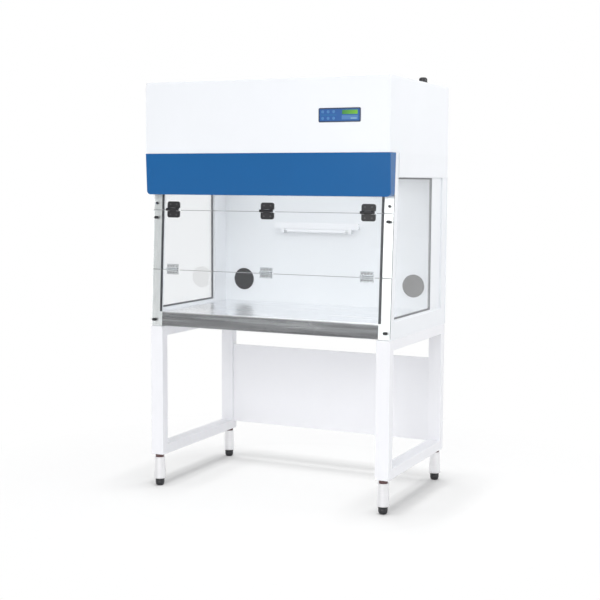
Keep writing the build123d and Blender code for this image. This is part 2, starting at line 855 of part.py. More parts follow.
def upper_hinge_fixed_leaves():
    return hinge_row(swing_line, hinge_leaf(
        black_leaf_width, black_leaf_height, black_leaf_thickness, black_barrel_radius,
        black_axis_offset, black_leaf_corner, black_spans[0], pin_radius, True))


def upper_hinge_moving_leaves():
    return hinge_row(swing_line, hinge_leaf(
        black_leaf_width, black_leaf_height, black_leaf_thickness, black_barrel_radius,
        black_axis_offset, black_leaf_corner, black_spans[1], pin_radius + running_gap, False))


def upper_hinge_pins():
    left, right = black_spans[0][0][0], black_spans[0][1][1]
    return hinge_row(swing_line, rod_x(left, right, -black_axis_offset, 0, pin_radius))


def lower_hinge_upper_leaves():
    return hinge_row(fold_line, hinge_leaf(
        clear_leaf_width, clear_leaf_height, clear_leaf_thickness, clear_barrel_radius,
        clear_axis_offset, clear_leaf_corner, clear_spans[0], pin_radius, True))


def lower_hinge_lower_leaves():
    return hinge_row(fold_line, hinge_leaf(
        clear_leaf_width, clear_leaf_height, clear_leaf_thickness, clear_barrel_radius,
        clear_axis_offset, clear_leaf_corner, clear_spans[1], pin_radius + running_gap, False))


def lower_hinge_pins():
    left, right = clear_spans[0][0][0], clear_spans[0][1][1]
    return hinge_row(fold_line, rod_x(left, right, -clear_axis_offset, 0, pin_radius))


def catch_pair(line):
    """Two small blocks with rounded ends, one at each side of the sash."""
    blocks = []
    for x in (-catch_x, catch_x):
        piece = Pos(x, -catch_height / 2, line) * Box(catch_width, catch_height, catch_length)
        blocks.append(on_sash(fillet(piece.edges().filter_by(Axis.Y), catch_length / 2.2)))
    return group(blocks)


def sash_catches():
    return catch_pair(catch_line)


def sash_studs():
    return catch_pair(2 * fold_line - catch_line)


# Stand


def stand_frame_right():
    """Two legs and two side rails of rectangular tube, welded into one frame."""
    y0, y1 = front_leg_y - leg_depth / 2, rear_leg_y + leg_depth / 2
    z0, z1 = foot_height, base
    x0, x1 = side - leg_width, side
    body = block(x0, x1, y0, y1, z0, z1)
    body -= block(x0 - 1, x1 + 1, y0 + leg_depth, y1 - leg_depth, z0 + rail_height, z1 - rail_height)
    body = fillet(body.edges(), tube_corner)
    wall = tube_wall
    cavity = block(x0 + wall, x1 - wall, y0 + wall, y1 - wall, z0 + wall, z1 - wall)
    cavity -= block(x0 - 1, x1 + 1, y0 + leg_depth - wall, y1 - leg_depth + wall,
                    z0 + rail_height - wall, z1 - rail_height + wall)
    for y in (front_leg_y, rear_leg_y):
        cavity += rod(leg_x, y, z0 - 1, z0 + 2 * wall, stem_radius + 1)
    return body - cavity


def stand_rear_rail():
    """The tube between the rear legs, under the cabinet."""
    half = side - leg_width
    y0, y1 = rear_leg_y - leg_depth / 2, rear_leg_y + leg_depth / 2
    tube = block(-half, half, y0, y1, base - rail_height, base)
    tube = fillet(tube.edges().filter_by(Axis.X), tube_corner)
    return tube - block(-half - 1, half + 1, y0 + tube_wall, y1 - tube_wall,
                        base - rail_height + tube_wall, base - tube_wall)


def stand_rear_panel():
    """A folded sheet panel between the rear legs."""
    half = side - leg_width
    z1 = base - rear_panel_drop
    z0 = z1 - rear_panel_height
    y0 = rear_leg_y - rear_panel_flange / 2
    tray = block(-half, half, y0, y0 + rear_panel_flange, z0, z1)
    tray -= block(-half + sheet, half - sheet, y0 + sheet, y0 + rear_panel_flange + 1, z0 + sheet, z1 - sheet)
    for x in (-half, half):
        for z in (z0 + rail_height, z1 - rail_height):
            tray -= rod_x(x - 2 * sheet, x + 2 * sheet, rear_leg_y + 2, z, bolt_radius + running_gap)
    return tray


def stand_bolts():
    """Screws that hold the rear panel to the legs, their heads inside the panel's flanges."""
    half = side - leg_width
    z1 = base - rear_panel_drop
    z0 = z1 - rear_panel_height
    bolts = []
    for s in (-1, 1):
        for z in (z0 + rail_height, z1 - rail_height):
            face = s * (half - sheet)
            x0, x1 = sorted((face, face - s * bolt_head_height))
            head = rod_x(x0, x1, rear_leg_y + 2, z, bolt_head_radius)
            x2, x3 = sorted((face, s * half))
            bolts.append(head + rod_x(x2, x3, rear_leg_y + 2, z, bolt_radius))
    return group(bolts)


# Feet


def foot_places():
    """Foot centres by name."""
    return {
        "front_left": (-leg_x, front_leg_y),
        "front_right": (leg_x, front_leg_y),
        "rear_left": (-leg_x, rear_leg_y),
        "rear_right": (leg_x, rear_leg_y),
    }


sleeve_bottom = foot_height - collar_height - sleeve_height


def foot_collars():
    """Black bushes between the legs and the sleeves."""
    collars = []
    for x, y in foot_places().values():
        ring = rod(x, y, foot_height - collar_height, foot_height, collar_radius)
        collars.append(ring - rod(x, y, 0, foot_height + 1, stem_radius + 1))
    return group(collars)


def foot_sleeve(x, y):
    """A turned sleeve, wider at the foot, bored for the pad's stem."""
    top_z = foot_height - collar_height
    cone = Cone(sleeve_bottom_radius, sleeve_top_radius, sleeve_height)
    cone = Pos(x, y, (sleeve_bottom + top_z) / 2) * cone
    low = cone.edges().filter_by(GeomType.CIRCLE).sort_by(Axis.Z)[:1]
    cone = fillet(low, sleeve_bottom_round)
    return cone - rod(x, y, 0, sleeve_bottom + socket_depth, stem_radius + running_gap)


def foot_pad(x, y):
    """A black pad on a stem that screws down out of the sleeve."""
    neck = sleeve_bottom - loose_gap
    pad = rod(x, y, 0, neck, pad_radius)
    pad = fillet(pad.edges().filter_by(GeomType.CIRCLE).sort_by(Axis.Z)[:1], 2.5)
    return pad + rod(x, y, neck, neck + stem_length, stem_radius)


def build_parts():
    """Every node of the object by name."""
    parts = {
        "hood_casing": hood_casing(),
        "hood_front_cover": hood_front_cover(),
        "roof_panel": roof_panel(),
        "prefilter_grille": prefilter_grille(),
        "prefilter": prefilter(),
        "intake_box": intake_box(),
        "fan_inlet_ring": fan_inlet_ring(),
        "fan_impeller": fan_impeller(),
        "fan_motor": fan_motor(),
        "motor_bracket": motor_bracket(),
        "fascia": fascia(),
        "control_overlay": control_overlay(),
        "display_window": display_window(),
        "control_keys": control_keys(),
        "controller_box": controller_box(),
        "cable_gland": cable_gland(),
        "window_gaskets": group([window_gasket_right(), mirrored(window_gasket_right())]),
        "sash_rails": group([sash_rail_right(), mirrored(sash_rail_right())]),
        "sash_seals": group([sash_seal_right(), mirrored(sash_seal_right())]),
        "worktop": worktop(),
        "base_pan": base_pan(),
        "back_wall": back_wall(),
        "rear_cover": rear_cover(),
        "port_plug_left": port_plug(-port_x),
        "port_plug_right": port_plug(port_x),
        "ceiling_frame": ceiling_frame(),
        "hepa_frame": hepa_frame(),
        "hepa_pack": hepa_pack(),
        "diffuser_grille": diffuser_grille(),
        "lamp_batten": lamp_batten(),
        "lamp_tube": lamp_tube(),
        "uv_lamp_base": uv_lamp_base(),
        "uv_tube": uv_tube(),
        "sash_top_panel": sash_top_panel(),
        "sash_middle_panel": sash_middle_panel(),
        "sash_bottom_panel": sash_bottom_panel(),
        "top_panel_screws": top_panel_screws(),
        "upper_hinge_fixed_leaves": upper_hinge_fixed_leaves(),
        "upper_hinge_moving_leaves": upper_hinge_moving_leaves(),
        "upper_hinge_pins": upper_hinge_pins(),
        "lower_hinge_upper_leaves": lower_hinge_upper_leaves(),
        "lower_hinge_lower_leaves": lower_hinge_lower_leaves(),
        "lower_hinge_pins": lower_hinge_pins(),
        "sash_catches": sash_catches(),
        "sash_studs": sash_studs(),
        "stand_rear_rail": stand_rear_rail(),
        "stand_rear_panel": stand_rear_panel(),
        "stand_bolts": stand_bolts(),
        "foot_collars": foot_collars(),
    }
    for name, piece in (("side_frame", side_frame_right()), ("side_window", side_window_right()),
                        ("stand_frame", stand_frame_right())):
        parts[name + "_right"] = piece
        parts[name + "_left"] = mirrored(piece)
    for place, (x, y) in foot_places().items():
        parts["foot_pad_" + place] = foot_pad(x, y)
    parts["foot_sleeves"] = group([foot_sleeve(x, y) for x, y in foot_places().values()])
    return parts


os.makedirs("parts", exist_ok=True)
for node, shape in build_parts().items():
    export_step(shape, "parts/" + node + ".step")
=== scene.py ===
import math
import bmesh
import bpy
from mathutils import Matrix, Vector


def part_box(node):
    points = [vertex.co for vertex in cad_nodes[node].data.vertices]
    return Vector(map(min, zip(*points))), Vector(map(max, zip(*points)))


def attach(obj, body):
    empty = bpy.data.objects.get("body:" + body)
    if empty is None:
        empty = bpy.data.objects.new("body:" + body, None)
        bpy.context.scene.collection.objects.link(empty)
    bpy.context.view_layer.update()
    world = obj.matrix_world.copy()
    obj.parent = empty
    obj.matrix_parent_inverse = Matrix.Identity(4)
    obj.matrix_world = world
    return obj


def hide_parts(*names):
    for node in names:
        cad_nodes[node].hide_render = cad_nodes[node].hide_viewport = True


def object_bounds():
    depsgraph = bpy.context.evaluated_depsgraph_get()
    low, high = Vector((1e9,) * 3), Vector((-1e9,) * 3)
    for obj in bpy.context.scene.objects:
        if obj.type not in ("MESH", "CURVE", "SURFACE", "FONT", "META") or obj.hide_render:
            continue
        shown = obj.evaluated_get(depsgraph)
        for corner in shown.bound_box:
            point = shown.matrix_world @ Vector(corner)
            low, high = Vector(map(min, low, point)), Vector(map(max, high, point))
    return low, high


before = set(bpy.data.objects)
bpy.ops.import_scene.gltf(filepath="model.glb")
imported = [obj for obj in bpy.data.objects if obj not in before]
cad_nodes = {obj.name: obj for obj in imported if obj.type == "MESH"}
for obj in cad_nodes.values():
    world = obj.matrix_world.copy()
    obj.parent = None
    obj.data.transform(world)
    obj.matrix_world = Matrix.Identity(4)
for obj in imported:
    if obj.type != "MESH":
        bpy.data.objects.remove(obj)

cad_low, cad_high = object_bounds()


# Stand: two side frames welded from rectangular steel tube, a rear rail and a folded rear
# panel screwed between the back legs. All of it is degreased and powder-coated white, so the
# paint has a faint orange-peel skin and pulls a little thin over the tube corners.
def new_finish(name):
    """A material with an empty Principled shader, and its node tree."""
    material = bpy.data.materials.new(name)
    material.use_nodes = True
    return material, material.node_tree, material.node_tree.nodes["Principled BSDF"]


def fill(node, values):
    """Sets a node's inputs by name, an underscore standing for a space."""
    for key, value in values.items():
        node.inputs[key.replace("_", " ")].default_value = value
    return node


def add_node(tree, kind, **inputs):
    """A node with values set on its named inputs."""
    return fill(tree.nodes.new(kind), inputs)


def add_math(tree, operation, second=None, kind="ShaderNodeMath"):
    """A math node, with its second value set where one is given."""
    new = tree.nodes.new(kind)
    new.operation = operation
    if second is not None:
        new.inputs[1].default_value = second
    return new


def wire(tree, *links):
    """Joins sockets, each link given as (node, output, node, input)."""
    for source, out, target, into in links:
        tree.links.new(source.outputs[out], target.inputs[into])


def new_group(name, inputs, outputs, kind="ShaderNodeTree"):
    """A node group with named sockets, given as (name, socket type, default)."""
    group = bpy.data.node_groups.new(name, kind)
    for label, socket_type, default in inputs:
        socket = group.interface.new_socket(label, in_out="INPUT", socket_type=socket_type)
        if default is not None:
            socket.default_value = default
    for label, socket_type in outputs:
        group.interface.new_socket(label, in_out="OUTPUT", socket_type=socket_type)
    return group, group.nodes.new("NodeGroupInput"), group.nodes.new("NodeGroupOutput")


def place_group(tree, group, **inputs):
    """The group as a node in a material, with this material's own values."""
    new = tree.nodes.new("ShaderNodeGroup")
    new.node_tree = group
    return fill(new, inputs)


def dress(names, material):
    """Gives CAD nodes their finish."""
    for name in names:
        node = cad_nodes[name]
        if not node.data.materials:
            node.data.materials.append(material)
        for index in range(len(node.material_slots)):
            node.material_slots[index].material = material


# The sprayed skin: fine orange peel as height, and a slow drift of tone and roughness.
sprayed_skin, skin_in, skin_out = new_group(
    "sprayed skin",
    [("Peel Size", "NodeSocketFloat", 420.0), ("Drift Size", "NodeSocketFloat", 2.2),
     ("Colour", "NodeSocketColor", (0.8, 0.8, 0.8, 1)), ("Drift", "NodeSocketFloat", 0.03),
     ("Gloss", "NodeSocketFloat", 0.35)],
    [("Colour", "NodeSocketColor"), ("Roughness", "NodeSocketFloat"), ("Height", "NodeSocketFloat")])
skin_place = sprayed_skin.nodes.new("ShaderNodeTexCoord")
skin_peel = add_node(sprayed_skin, "ShaderNodeTexNoise", Detail=2.0)
skin_drift = add_node(sprayed_skin, "ShaderNodeTexNoise", Detail=3.0, Roughness=0.6)
skin_tone = add_node(sprayed_skin, "ShaderNodeMapRange", To_Min=-1.0)
skin_amount = add_math(sprayed_skin, "MULTIPLY")
skin_value = add_math(sprayed_skin, "ADD", 1.0)
skin_colour = sprayed_skin.nodes.new("ShaderNodeHueSaturation")
skin_rough = add_math(sprayed_skin, "MULTIPLY_ADD", 0.12)
wire(sprayed_skin,
     (skin_place, "Object", skin_peel, "Vector"),
     (skin_place, "Object", skin_drift, "Vector"),
     (skin_in, "Peel Size", skin_peel, "Scale"),
     (skin_in, "Drift Size", skin_drift, "Scale"),
     (skin_drift, "Fac", skin_tone, "Value"),
     (skin_tone, "Result", skin_amount, 0),
     (skin_in, "Drift", skin_amount, 1),
     (skin_amount, 0, skin_value, 0),
     (skin_value, 0, skin_colour, "Value"),
     (skin_in, "Colour", skin_colour, "Color"),
     (skin_drift, "Fac", skin_rough, 0),
     (skin_in, "Gloss", skin_rough, 2),
     (skin_colour, "Color", skin_out, "Colour"),
     (skin_rough, 0, skin_out, "Roughness"),
     (skin_peel, "Fac", skin_out, "Height"))


def lay_skin(tree, skin, shader, strength, lift):
    """Leads a skin's colour, roughness and height into the shader."""
    bump = add_node(tree, "ShaderNodeBump", Strength=strength, Distance=lift)
    wire(tree,
         (skin, "Colour", shader, "Base Color"),
         (skin, "Roughness", shader, "Roughness"),
         (skin, "Height", bump, "Height"),
         (bump, "Normal", shader, "Normal"))


def painted(name, colour, gloss):
    """Paint or powder coat of one colour over steel."""
    material, tree, shader = new_finish(name)
    skin = place_group(tree, sprayed_skin, Colour=(*colour, 1), Gloss=gloss)
    lay_skin(tree, skin, shader, strength=0.6, lift=0.00004)
    fill(shader, {"Coat Weight": 0.15, "Coat Roughness": 0.2})
    return material


stand_white = painted("stand powder coat", (0.86, 0.86, 0.885), 0.34)
dress(["stand_frame_left", "stand_frame_right", "stand_rear_rail", "stand_rear_panel"], stand_white)


# Screw heads: a pan head with a round drive recess, turned by the thousand from bright steel.
# One tree sets them on points that carry the direction each screw is driven from.
screw_tree, screw_in, screw_out = new_group(
    "pan head screws",
    [("Geometry", "NodeSocketGeometry", None), ("Head Radius", "NodeSocketFloat", 0.004),
     ("Head Height", "NodeSocketFloat", 0.002), ("Recess", "NodeSocketFloat", 0.001),
     ("Finish", "NodeSocketMaterial", None)],
    [("Geometry", "NodeSocketGeometry")], "GeometryNodeTree")
head = add_node(screw_tree, "GeometryNodeMeshCylinder", Vertices=18)
wire(screw_tree, (screw_in, "Head Radius", head, "Radius"), (screw_in, "Head Height", head, "Depth"))
flank = screw_tree.nodes.new("GeometryNodeExtrudeMesh")
wire(screw_tree, (head, "Mesh", flank, "Mesh"), (head, "Top", flank, "Selection"))
crown_rise = add_math(screw_tree, "MULTIPLY", 0.35)
wire(screw_tree, (screw_in, "Head Height", crown_rise, 0), (crown_rise, 0, flank, "Offset Scale"))
crown = add_node(screw_tree, "GeometryNodeScaleElements", Scale=0.78)
wire(screw_tree, (flank, "Mesh", crown, "Geometry"), (flank, "Top", crown, "Selection"))
rim = add_node(screw_tree, "GeometryNodeExtrudeMesh", Offset_Scale=0.00002)
wire(screw_tree, (crown, "Geometry", rim, "Mesh"), (flank, "Top", rim, "Selection"))
drive_edge = add_node(screw_tree, "GeometryNodeScaleElements", Scale=0.5)
wire(screw_tree, (rim, "Mesh", drive_edge, "Geometry"), (rim, "Top", drive_edge, "Selection"))
drive = screw_tree.nodes.new("GeometryNodeExtrudeMesh")
drive_depth = add_math(screw_tree, "MULTIPLY", -1.0)
wire(screw_tree,
     (screw_in, "Recess", drive_depth, 0),
     (drive_depth, 0, drive, "Offset Scale"),
     (drive_edge, "Geometry", drive, "Mesh"),
     (rim, "Top", drive, "Selection"))
turn = screw_tree.nodes.new("FunctionNodeAlignRotationToVector")
turn.axis = "Z"
driven_from = screw_tree.nodes.new("GeometryNodeInputNamedAttribute")
driven_from.data_type = "FLOAT_VECTOR"
driven_from.inputs["Name"].default_value = "driven from"
wire(screw_tree, (driven_from, "Attribute", turn, "Vector"))
seats = screw_tree.nodes.new("GeometryNodeMeshToPoints")
wire(screw_tree, (screw_in, "Geometry", seats, "Mesh"))
heads = screw_tree.nodes.new("GeometryNodeInstanceOnPoints")
wire(screw_tree,
     (seats, "Points", heads, "Points"),
     (drive, "Mesh", heads, "Instance"),
     (turn, "Rotation", heads, "Rotation"))
realized = screw_tree.nodes.new("GeometryNodeRealizeInstances")
wire(screw_tree, (heads, "Instances", realized, "Geometry"))
finished = screw_tree.nodes.new("GeometryNodeSetMaterial")
wire(screw_tree,
     (realized, "Geometry", finished, "Geometry"),
     (screw_in, "Finish", finished, "Material"),
     (finished, "Geometry", screw_out, "Geometry"))


def add_piece(name, mesh, body, slot, *materials):
    """Links a finished mesh as a piece that rides on a body."""
    piece = bpy.data.objects.new(name, mesh)
    bpy.context.scene.collection.objects.link(piece)
    for material in materials:
        mesh.materials.append(material)
    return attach(piece, body)


def grow(name, tree, mesh, settings, body, slot):
    """Runs a Geometry Nodes tree on a mesh and keeps the result as a plain mesh."""
    seed = bpy.data.objects.new(name + " seed", mesh)
    bpy.context.scene.collection.objects.link(seed)
    modifier = seed.modifiers.new("grow", "NODES")
    modifier.node_group = tree
    for item in tree.interface.items_tree:
        if item.item_type == "SOCKET" and item.in_out == "INPUT" and item.name in settings:
            modifier[item.identifier] = settings[item.name]
    evaluated = seed.evaluated_get(bpy.context.evaluated_depsgraph_get())
    made = bpy.data.meshes.new_from_object(evaluated)
    bpy.data.objects.remove(seed)
    return add_piece(name, made, body, slot)


recess_share = 0.7


def set_screws(name, places, body, finish, radius, height, slot="steel_fixings"):
    """Screw heads at (point, direction) places, in metres."""
    points = bpy.data.meshes.new(name + " points")
    points.from_pydata([Vector(at) + Vector(out).normalized() * height / 2 for at, out in places], [], [])
    facing = points.attributes.new("driven from", "FLOAT_VECTOR", "POINT")
    for index, (at, out) in enumerate(places):
        facing.data[index].vector = Vector(out).normalized()
    settings = {"Head Radius": radius, "Head Height": height, "Recess": height * recess_share,
                "Finish": finish}
    return grow(name, screw_tree, points, settings, body, slot)


def add_ramp(tree, dark, light, start=0.0, end=1.0):
    """A colour ramp from a dark to a light colour."""
    new = tree.nodes.new("ShaderNodeValToRGB")
    for element, colour, position in zip(new.color_ramp.elements, (dark, light), (start, end)):
        element.color = (*colour, 1)
        element.position = position
    return new


def mottled(name, dark, light, rough, rough_to=None, metallic=1.0, stretch=None, lift=None, **noise):
    """A finish whose tone follows one noise, as do its roughness and height where they are given."""
    material, tree, shader = new_finish(name)
    shader.inputs["Metallic"].default_value = metallic
    place = tree.nodes.new("ShaderNodeTexCoord")
    spots = add_node(tree, "ShaderNodeTexNoise", **noise)
    ramp = add_ramp(tree, dark, light)
    if stretch is None:
        wire(tree, (place, "Object", spots, "Vector"))
    else:
        drawn_out = add_node(tree, "ShaderNodeMapping", Scale=stretch)
        wire(tree, (place, "Object", drawn_out, "Vector"), (drawn_out, "Vector", spots, "Vector"))
    wire(tree, (spots, "Fac", ramp, "Fac"), (ramp, "Color", shader, "Base Color"))
    if rough_to is None:
        shader.inputs["Roughness"].default_value = rough
    else:
        wander = add_node(tree, "ShaderNodeMapRange", To_Min=rough, To_Max=rough_to)
        wire(tree, (spots, "Fac", wander, "Value"), (wander, "Result", shader, "Roughness"))
    if lift is not None:
        bump = add_node(tree, "ShaderNodeBump", Strength=lift[0], Distance=lift[1])
        wire(tree, (spots, "Fac", bump, "Height"), (bump, "Normal", shader, "Normal"))
    return material


bright_steel = mottled("bright steel fixings", (0.46, 0.46, 0.48), (0.66, 0.66, 0.68),
                       rough=0.18, rough_to=0.34, Scale=900.0, Detail=2.0)
dress(["stand_bolts", "upper_hinge_pins"], bright_steel)


# Feet: a turned aluminium sleeve under each leg, set off by a dark brown collar, and a black
# pad on a threaded stem that screws out of the sleeve to level the stand.
def to_mesh(shape, name):
    """The finished shape as a mesh, with all its faces turned outward."""
    bmesh.ops.recalc_face_normals(shape, faces=shape.faces)
    mesh = bpy.data.meshes.new(name)
    shape.to_mesh(mesh)
    shape.free()
    return mesh


def lathe(profile, axis_x, axis_y, sides):
    """A turned shape from (radius, height) points in metres, closed at both ends."""
    shape = bmesh.new()
    rings = []
    for radius, height in profile:
        ring = []
        for index in range(sides):
            angle = 2 * math.pi * index / sides
            ring.append(shape.verts.new((axis_x + radius * math.cos(angle),
                                         axis_y + radius * math.sin(angle), height)))
        rings.append(ring)
    for low, high in zip(rings, rings[1:]):
        for index in range(sides):
            following = (index + 1) % sides
            shape.faces.new((low[index], low[following], high[following], high[index]))
    shape.faces.new(list(reversed(rings[0])))
    shape.faces.new(rings[-1])
    for face in shape.faces:
        face.smooth = len(face.verts) == 4
    return to_mesh(shape, "turned")


turned_aluminium = mottled("turned aluminium", (0.74, 0.74, 0.76), (0.93, 0.93, 0.94),
                           rough=0.26, rough_to=0.42, stretch=(6.0, 6.0, 1400.0), lift=(0.3, 0.00005),
                           Scale=1.0, Detail=3.0)
dress(["foot_sleeves"], turned_aluminium)


def add_mix(tree, **colours):
    """A colour mix, with its A or B colour set where given."""
    new = tree.nodes.new("ShaderNodeMix")
    new.data_type = "RGBA"
    return fill(new, colours)


# The moulded grain: sparse fine pits as height and a roughness that wanders with them.
moulded_grain, grain_in, grain_out = new_group(
    "moulded grain",
    [("Grain Size", "NodeSocketFloat", 1500.0), ("Colour", "NodeSocketColor", (0.03, 0.03, 0.03, 1)),
     ("Bloom", "NodeSocketFloat", 0.02), ("Gloss", "NodeSocketFloat", 0.4)],
    [("Colour", "NodeSocketColor"), ("Roughness", "NodeSocketFloat"), ("Height", "NodeSocketFloat")])
grain_place = moulded_grain.nodes.new("ShaderNodeTexCoord")
grain_pits = moulded_grain.nodes.new("ShaderNodeTexVoronoi")
grain_cloud = add_node(moulded_grain, "ShaderNodeTexNoise", Scale=35.0, Detail=4.0)
grain_tint = add_math(moulded_grain, "MULTIPLY")
grain_mix = add_mix(moulded_grain, B=(0.6, 0.6, 0.62, 1))
grain_rough = add_math(moulded_grain, "MULTIPLY_ADD", 0.2)
wire(moulded_grain,
     (grain_place, "Object", grain_pits, "Vector"),
     (grain_place, "Object", grain_cloud, "Vector"),
     (grain_in, "Grain Size", grain_pits, "Scale"),
     (grain_cloud, "Fac", grain_tint, 0),
     (grain_in, "Bloom", grain_tint, 1),
     (grain_tint, 0, grain_mix, "Factor"),
     (grain_in, "Colour", grain_mix, "A"),
     (grain_cloud, "Fac", grain_rough, 0),
     (grain_in, "Gloss", grain_rough, 2),
     (grain_mix, "Result", grain_out, "Colour"),
     (grain_rough, 0, grain_out, "Roughness"),
     (grain_pits, "Distance", grain_out, "Height"))


def moulded(name, colour, gloss, grain=1500.0, bloom=0.02):
    """Moulded plastic or rubber of one colour."""
    material, tree, shader = new_finish(name)
    skin = place_group(tree, moulded_grain, Colour=(*colour, 1), Gloss=gloss, Grain_Size=grain, Bloom=bloom)
    lay_skin(tree, skin, shader, strength=0.5, lift=0.00003)
    return material


black_nylon = moulded("black nylon", (0.012, 0.012, 0.015), 0.3)
collar_brown = moulded("collar bakelite", (0.095, 0.045, 0.045), 0.35)
dress(["foot_collars"], collar_brown)

zinc_thread = mottled("zinc plated thread", (0.34, 0.36, 0.38), (0.6, 0.61, 0.62),
                      rough=0.28, rough_to=0.5, Scale=260.0, Detail=3.0)

neck = 0.0287
pad_sides = 48
stem_radius = 0.008
stem_sides = 28
stem_bevel = 0.0004
stem_chamfer = 0.001
thread_pitch = 0.002
thread_depth = 0.0009
pitches = 15
steps = 4
for foot in ("front_left", "front_right", "rear_left", "rear_right"):
    node_name = "foot_pad_" + foot
    low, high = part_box(node_name)
    centre_x = (low.x + high.x) / 2
    centre_y = (low.y + high.y) / 2
    radius = (high.x - low.x) / 2
    # The pad has a hollow underside, a bevelled rim, one groove round its flank and a rounded neck.
    pad = lathe([(radius * 0.5, 0.0012), (radius * 0.56, 0.0), (radius - 0.0065, 0.0),
                 (radius - 0.0042, 0.0012), (radius - 0.0022, 0.0042), (radius - 0.0008, 0.0085),
                 (radius, 0.013), (radius, neck - 0.009), (radius - 0.0007, neck - 0.0085),
                 (radius - 0.0007, neck - 0.0073), (radius, neck - 0.0068), (radius, neck - 0.0018),
                 (radius - 0.0006, neck - 0.0006), (radius - 0.0018, neck), (stem_radius + 0.001, neck)],
                centre_x, centre_y, pad_sides)
    add_piece("pad_" + foot, pad, "foot_" + foot, "black_plastic", black_nylon)
    stem_profile = []
    for step in range(pitches * steps + 1):
        stem_profile.append((stem_radius, neck - 0.0005 + step * thread_pitch / steps))
    stem_profile.append((stem_radius - stem_bevel, stem_profile[-1][1] + 0.0003))
    stem_profile.append((stem_radius - stem_bevel, high.z - stem_chamfer))
    stem_profile.append((stem_radius - stem_bevel - stem_chamfer, high.z))
    stem = lathe(stem_profile, centre_x, centre_y, stem_sides)
    for vertex in stem.vertices:
        rise = vertex.co.z - neck
        if rise < pitches * thread_pitch:
            angle = math.atan2(vertex.co.y - centre_y, vertex.co.x - centre_x) / (2 * math.pi)
            phase = (rise / thread_pitch - angle) % 1.0
            cut = stem_radius - thread_depth * 2 * abs(phase - 0.5)
            vertex.co.x = centre_x + (vertex.co.x - centre_x) * cut / stem_radius
            vertex.co.y = centre_y + (vertex.co.y - centre_y) * cut / stem_radius
    stem_piece = add_piece("stem_" + foot, stem, "foot_" + foot, "steel_fixings", zinc_thread)
    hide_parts(node_name)


# Cabinet shell: side frames, base pan, back wall, rear cover and ceiling frame are folded from
# steel sheet, spot-welded, and powder-coated a slightly cooler white than the stand.
cabinet_white = painted("cabinet powder coat", (0.85, 0.865, 0.89), 0.33)
dress(["side_frame_left", "side_frame_right", "base_pan", "rear_cover", "ceiling_frame"], cabinet_white)

chamber_white = painted("chamber powder coat", (0.8, 0.82, 0.84), 0.28)
dress(["back_wall", "diffuser_grille"], chamber_white)

cover_low, cover_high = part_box("rear_cover")
cover_edge = 0.012
cover_end = 0.03
side_gaps = 5
top_gaps = 6
rear_screw_height = 0.0012
rear_screw_face = cover_high.y - rear_screw_height * 1.5
cover_places = []
for index in range(side_gaps + 1):
    height = cover_low.z + cover_end + index * (cover_high.z - cover_low.z - 2 * cover_end) / side_gaps
    for x in (cover_low.x + cover_edge, cover_high.x - cover_edge):
        cover_places.append(((x, rear_screw_face, height), (0, 1, 0)))
for index in range(1, top_gaps):
    x = cover_low.x + cover_edge + index * (cover_high.x - cover_low.x - 2 * cover_edge) / top_gaps
    cover_places.append(((x, rear_screw_face, cover_high.z - cover_edge), (0, 1, 0)))
set_screws("rear_cover_screws", cover_places, "cabinet", bright_steel,
           radius=0.0045, height=rear_screw_height * 1.1)


# Side windows: tempered panes with polished edges, held in the frames by a bead of grey
# sealant. The black rubber here is for the strips that the sash closes on.
def clear_sheet(name, tint, index, rough, edge=(0.45, 0.5, 0.5), face=(0.0, 1.0, 0.0)):
    """Clear acrylic or glass, darker at its cut edges, that lets light through without a hard shadow."""
    material, tree, shader = new_finish(name)
    shader.inputs["Transmission Weight"].default_value = 1.0
    shader.inputs["IOR"].default_value = index
    smears = add_node(tree, "ShaderNodeTexNoise", Scale=7.0, Detail=5.0, Roughness=0.62)
    place = tree.nodes.new("ShaderNodeTexCoord")
    wiped = add_node(tree, "ShaderNodeMapRange", To_Min=rough, To_Max=rough + 0.02)
    wire(tree,
         (place, "Object", smears, "Vector"),
         (smears, "Fac", wiped, "Value"),
         (wiped, "Result", shader, "Roughness"))
    facing = add_math(tree, "DOT_PRODUCT", face, kind="ShaderNodeVectorMath")
    flat = add_math(tree, "ABSOLUTE")
    edges = add_node(tree, "ShaderNodeMapRange", From_Min=0.55, From_Max=0.85)
    body_tint = add_mix(tree, A=(*edge, 1), B=(*tint, 1))
    wire(tree,
         (place, "Normal", facing, 0),
         (facing, "Value", flat, 0),
         (flat, 0, edges, "Value"),
         (edges, "Result", body_tint, "Factor"),
         (body_tint, "Result", shader, "Base Color"))
    through = add_node(tree, "ShaderNodeBsdfTransparent", Color=(*tint, 1))
    rays = tree.nodes.new("ShaderNodeLightPath")
    either = add_math(tree, "MAXIMUM")
    wire(tree, (rays, "Is Shadow Ray", either, 0), (rays, "Is Diffuse Ray", either, 1))
    mixed = tree.nodes.new("ShaderNodeMixShader")
    wire(tree,
         (either, 0, mixed, "Fac"),
         (shader, "BSDF", mixed, 1),
         (through, "BSDF", mixed, 2),
         (mixed, "Shader", tree.nodes["Material Output"], "Surface"))
    return material


window_glass = clear_sheet("tempered window glass", (0.93, 0.94, 0.95), index=1.5, rough=0.0,
                           edge=(0.3, 0.42, 0.38), face=(1.0, 0.0, 0.0))
dress(["side_window_left", "side_window_right"], window_glass)
seal_rubber = moulded("black seal rubber", (0.016, 0.017, 0.024), 0.55, grain=900.0, bloom=0.04)
dress(["sash_seals"], seal_rubber)
bead_grey = moulded("grey sealant bead", (0.13, 0.135, 0.145), 0.6, grain=700.0, bloom=0.05)
dress(["window_gaskets"], bead_grey)


# Port plugs: black moulded caps pushed into two sleeves in the back wall, for service leads.
plug_black = moulded("plug plastic", (0.012, 0.013, 0.015), 0.28, grain=1100.0)
dress(["port_plug_left", "port_plug_right"], plug_black)


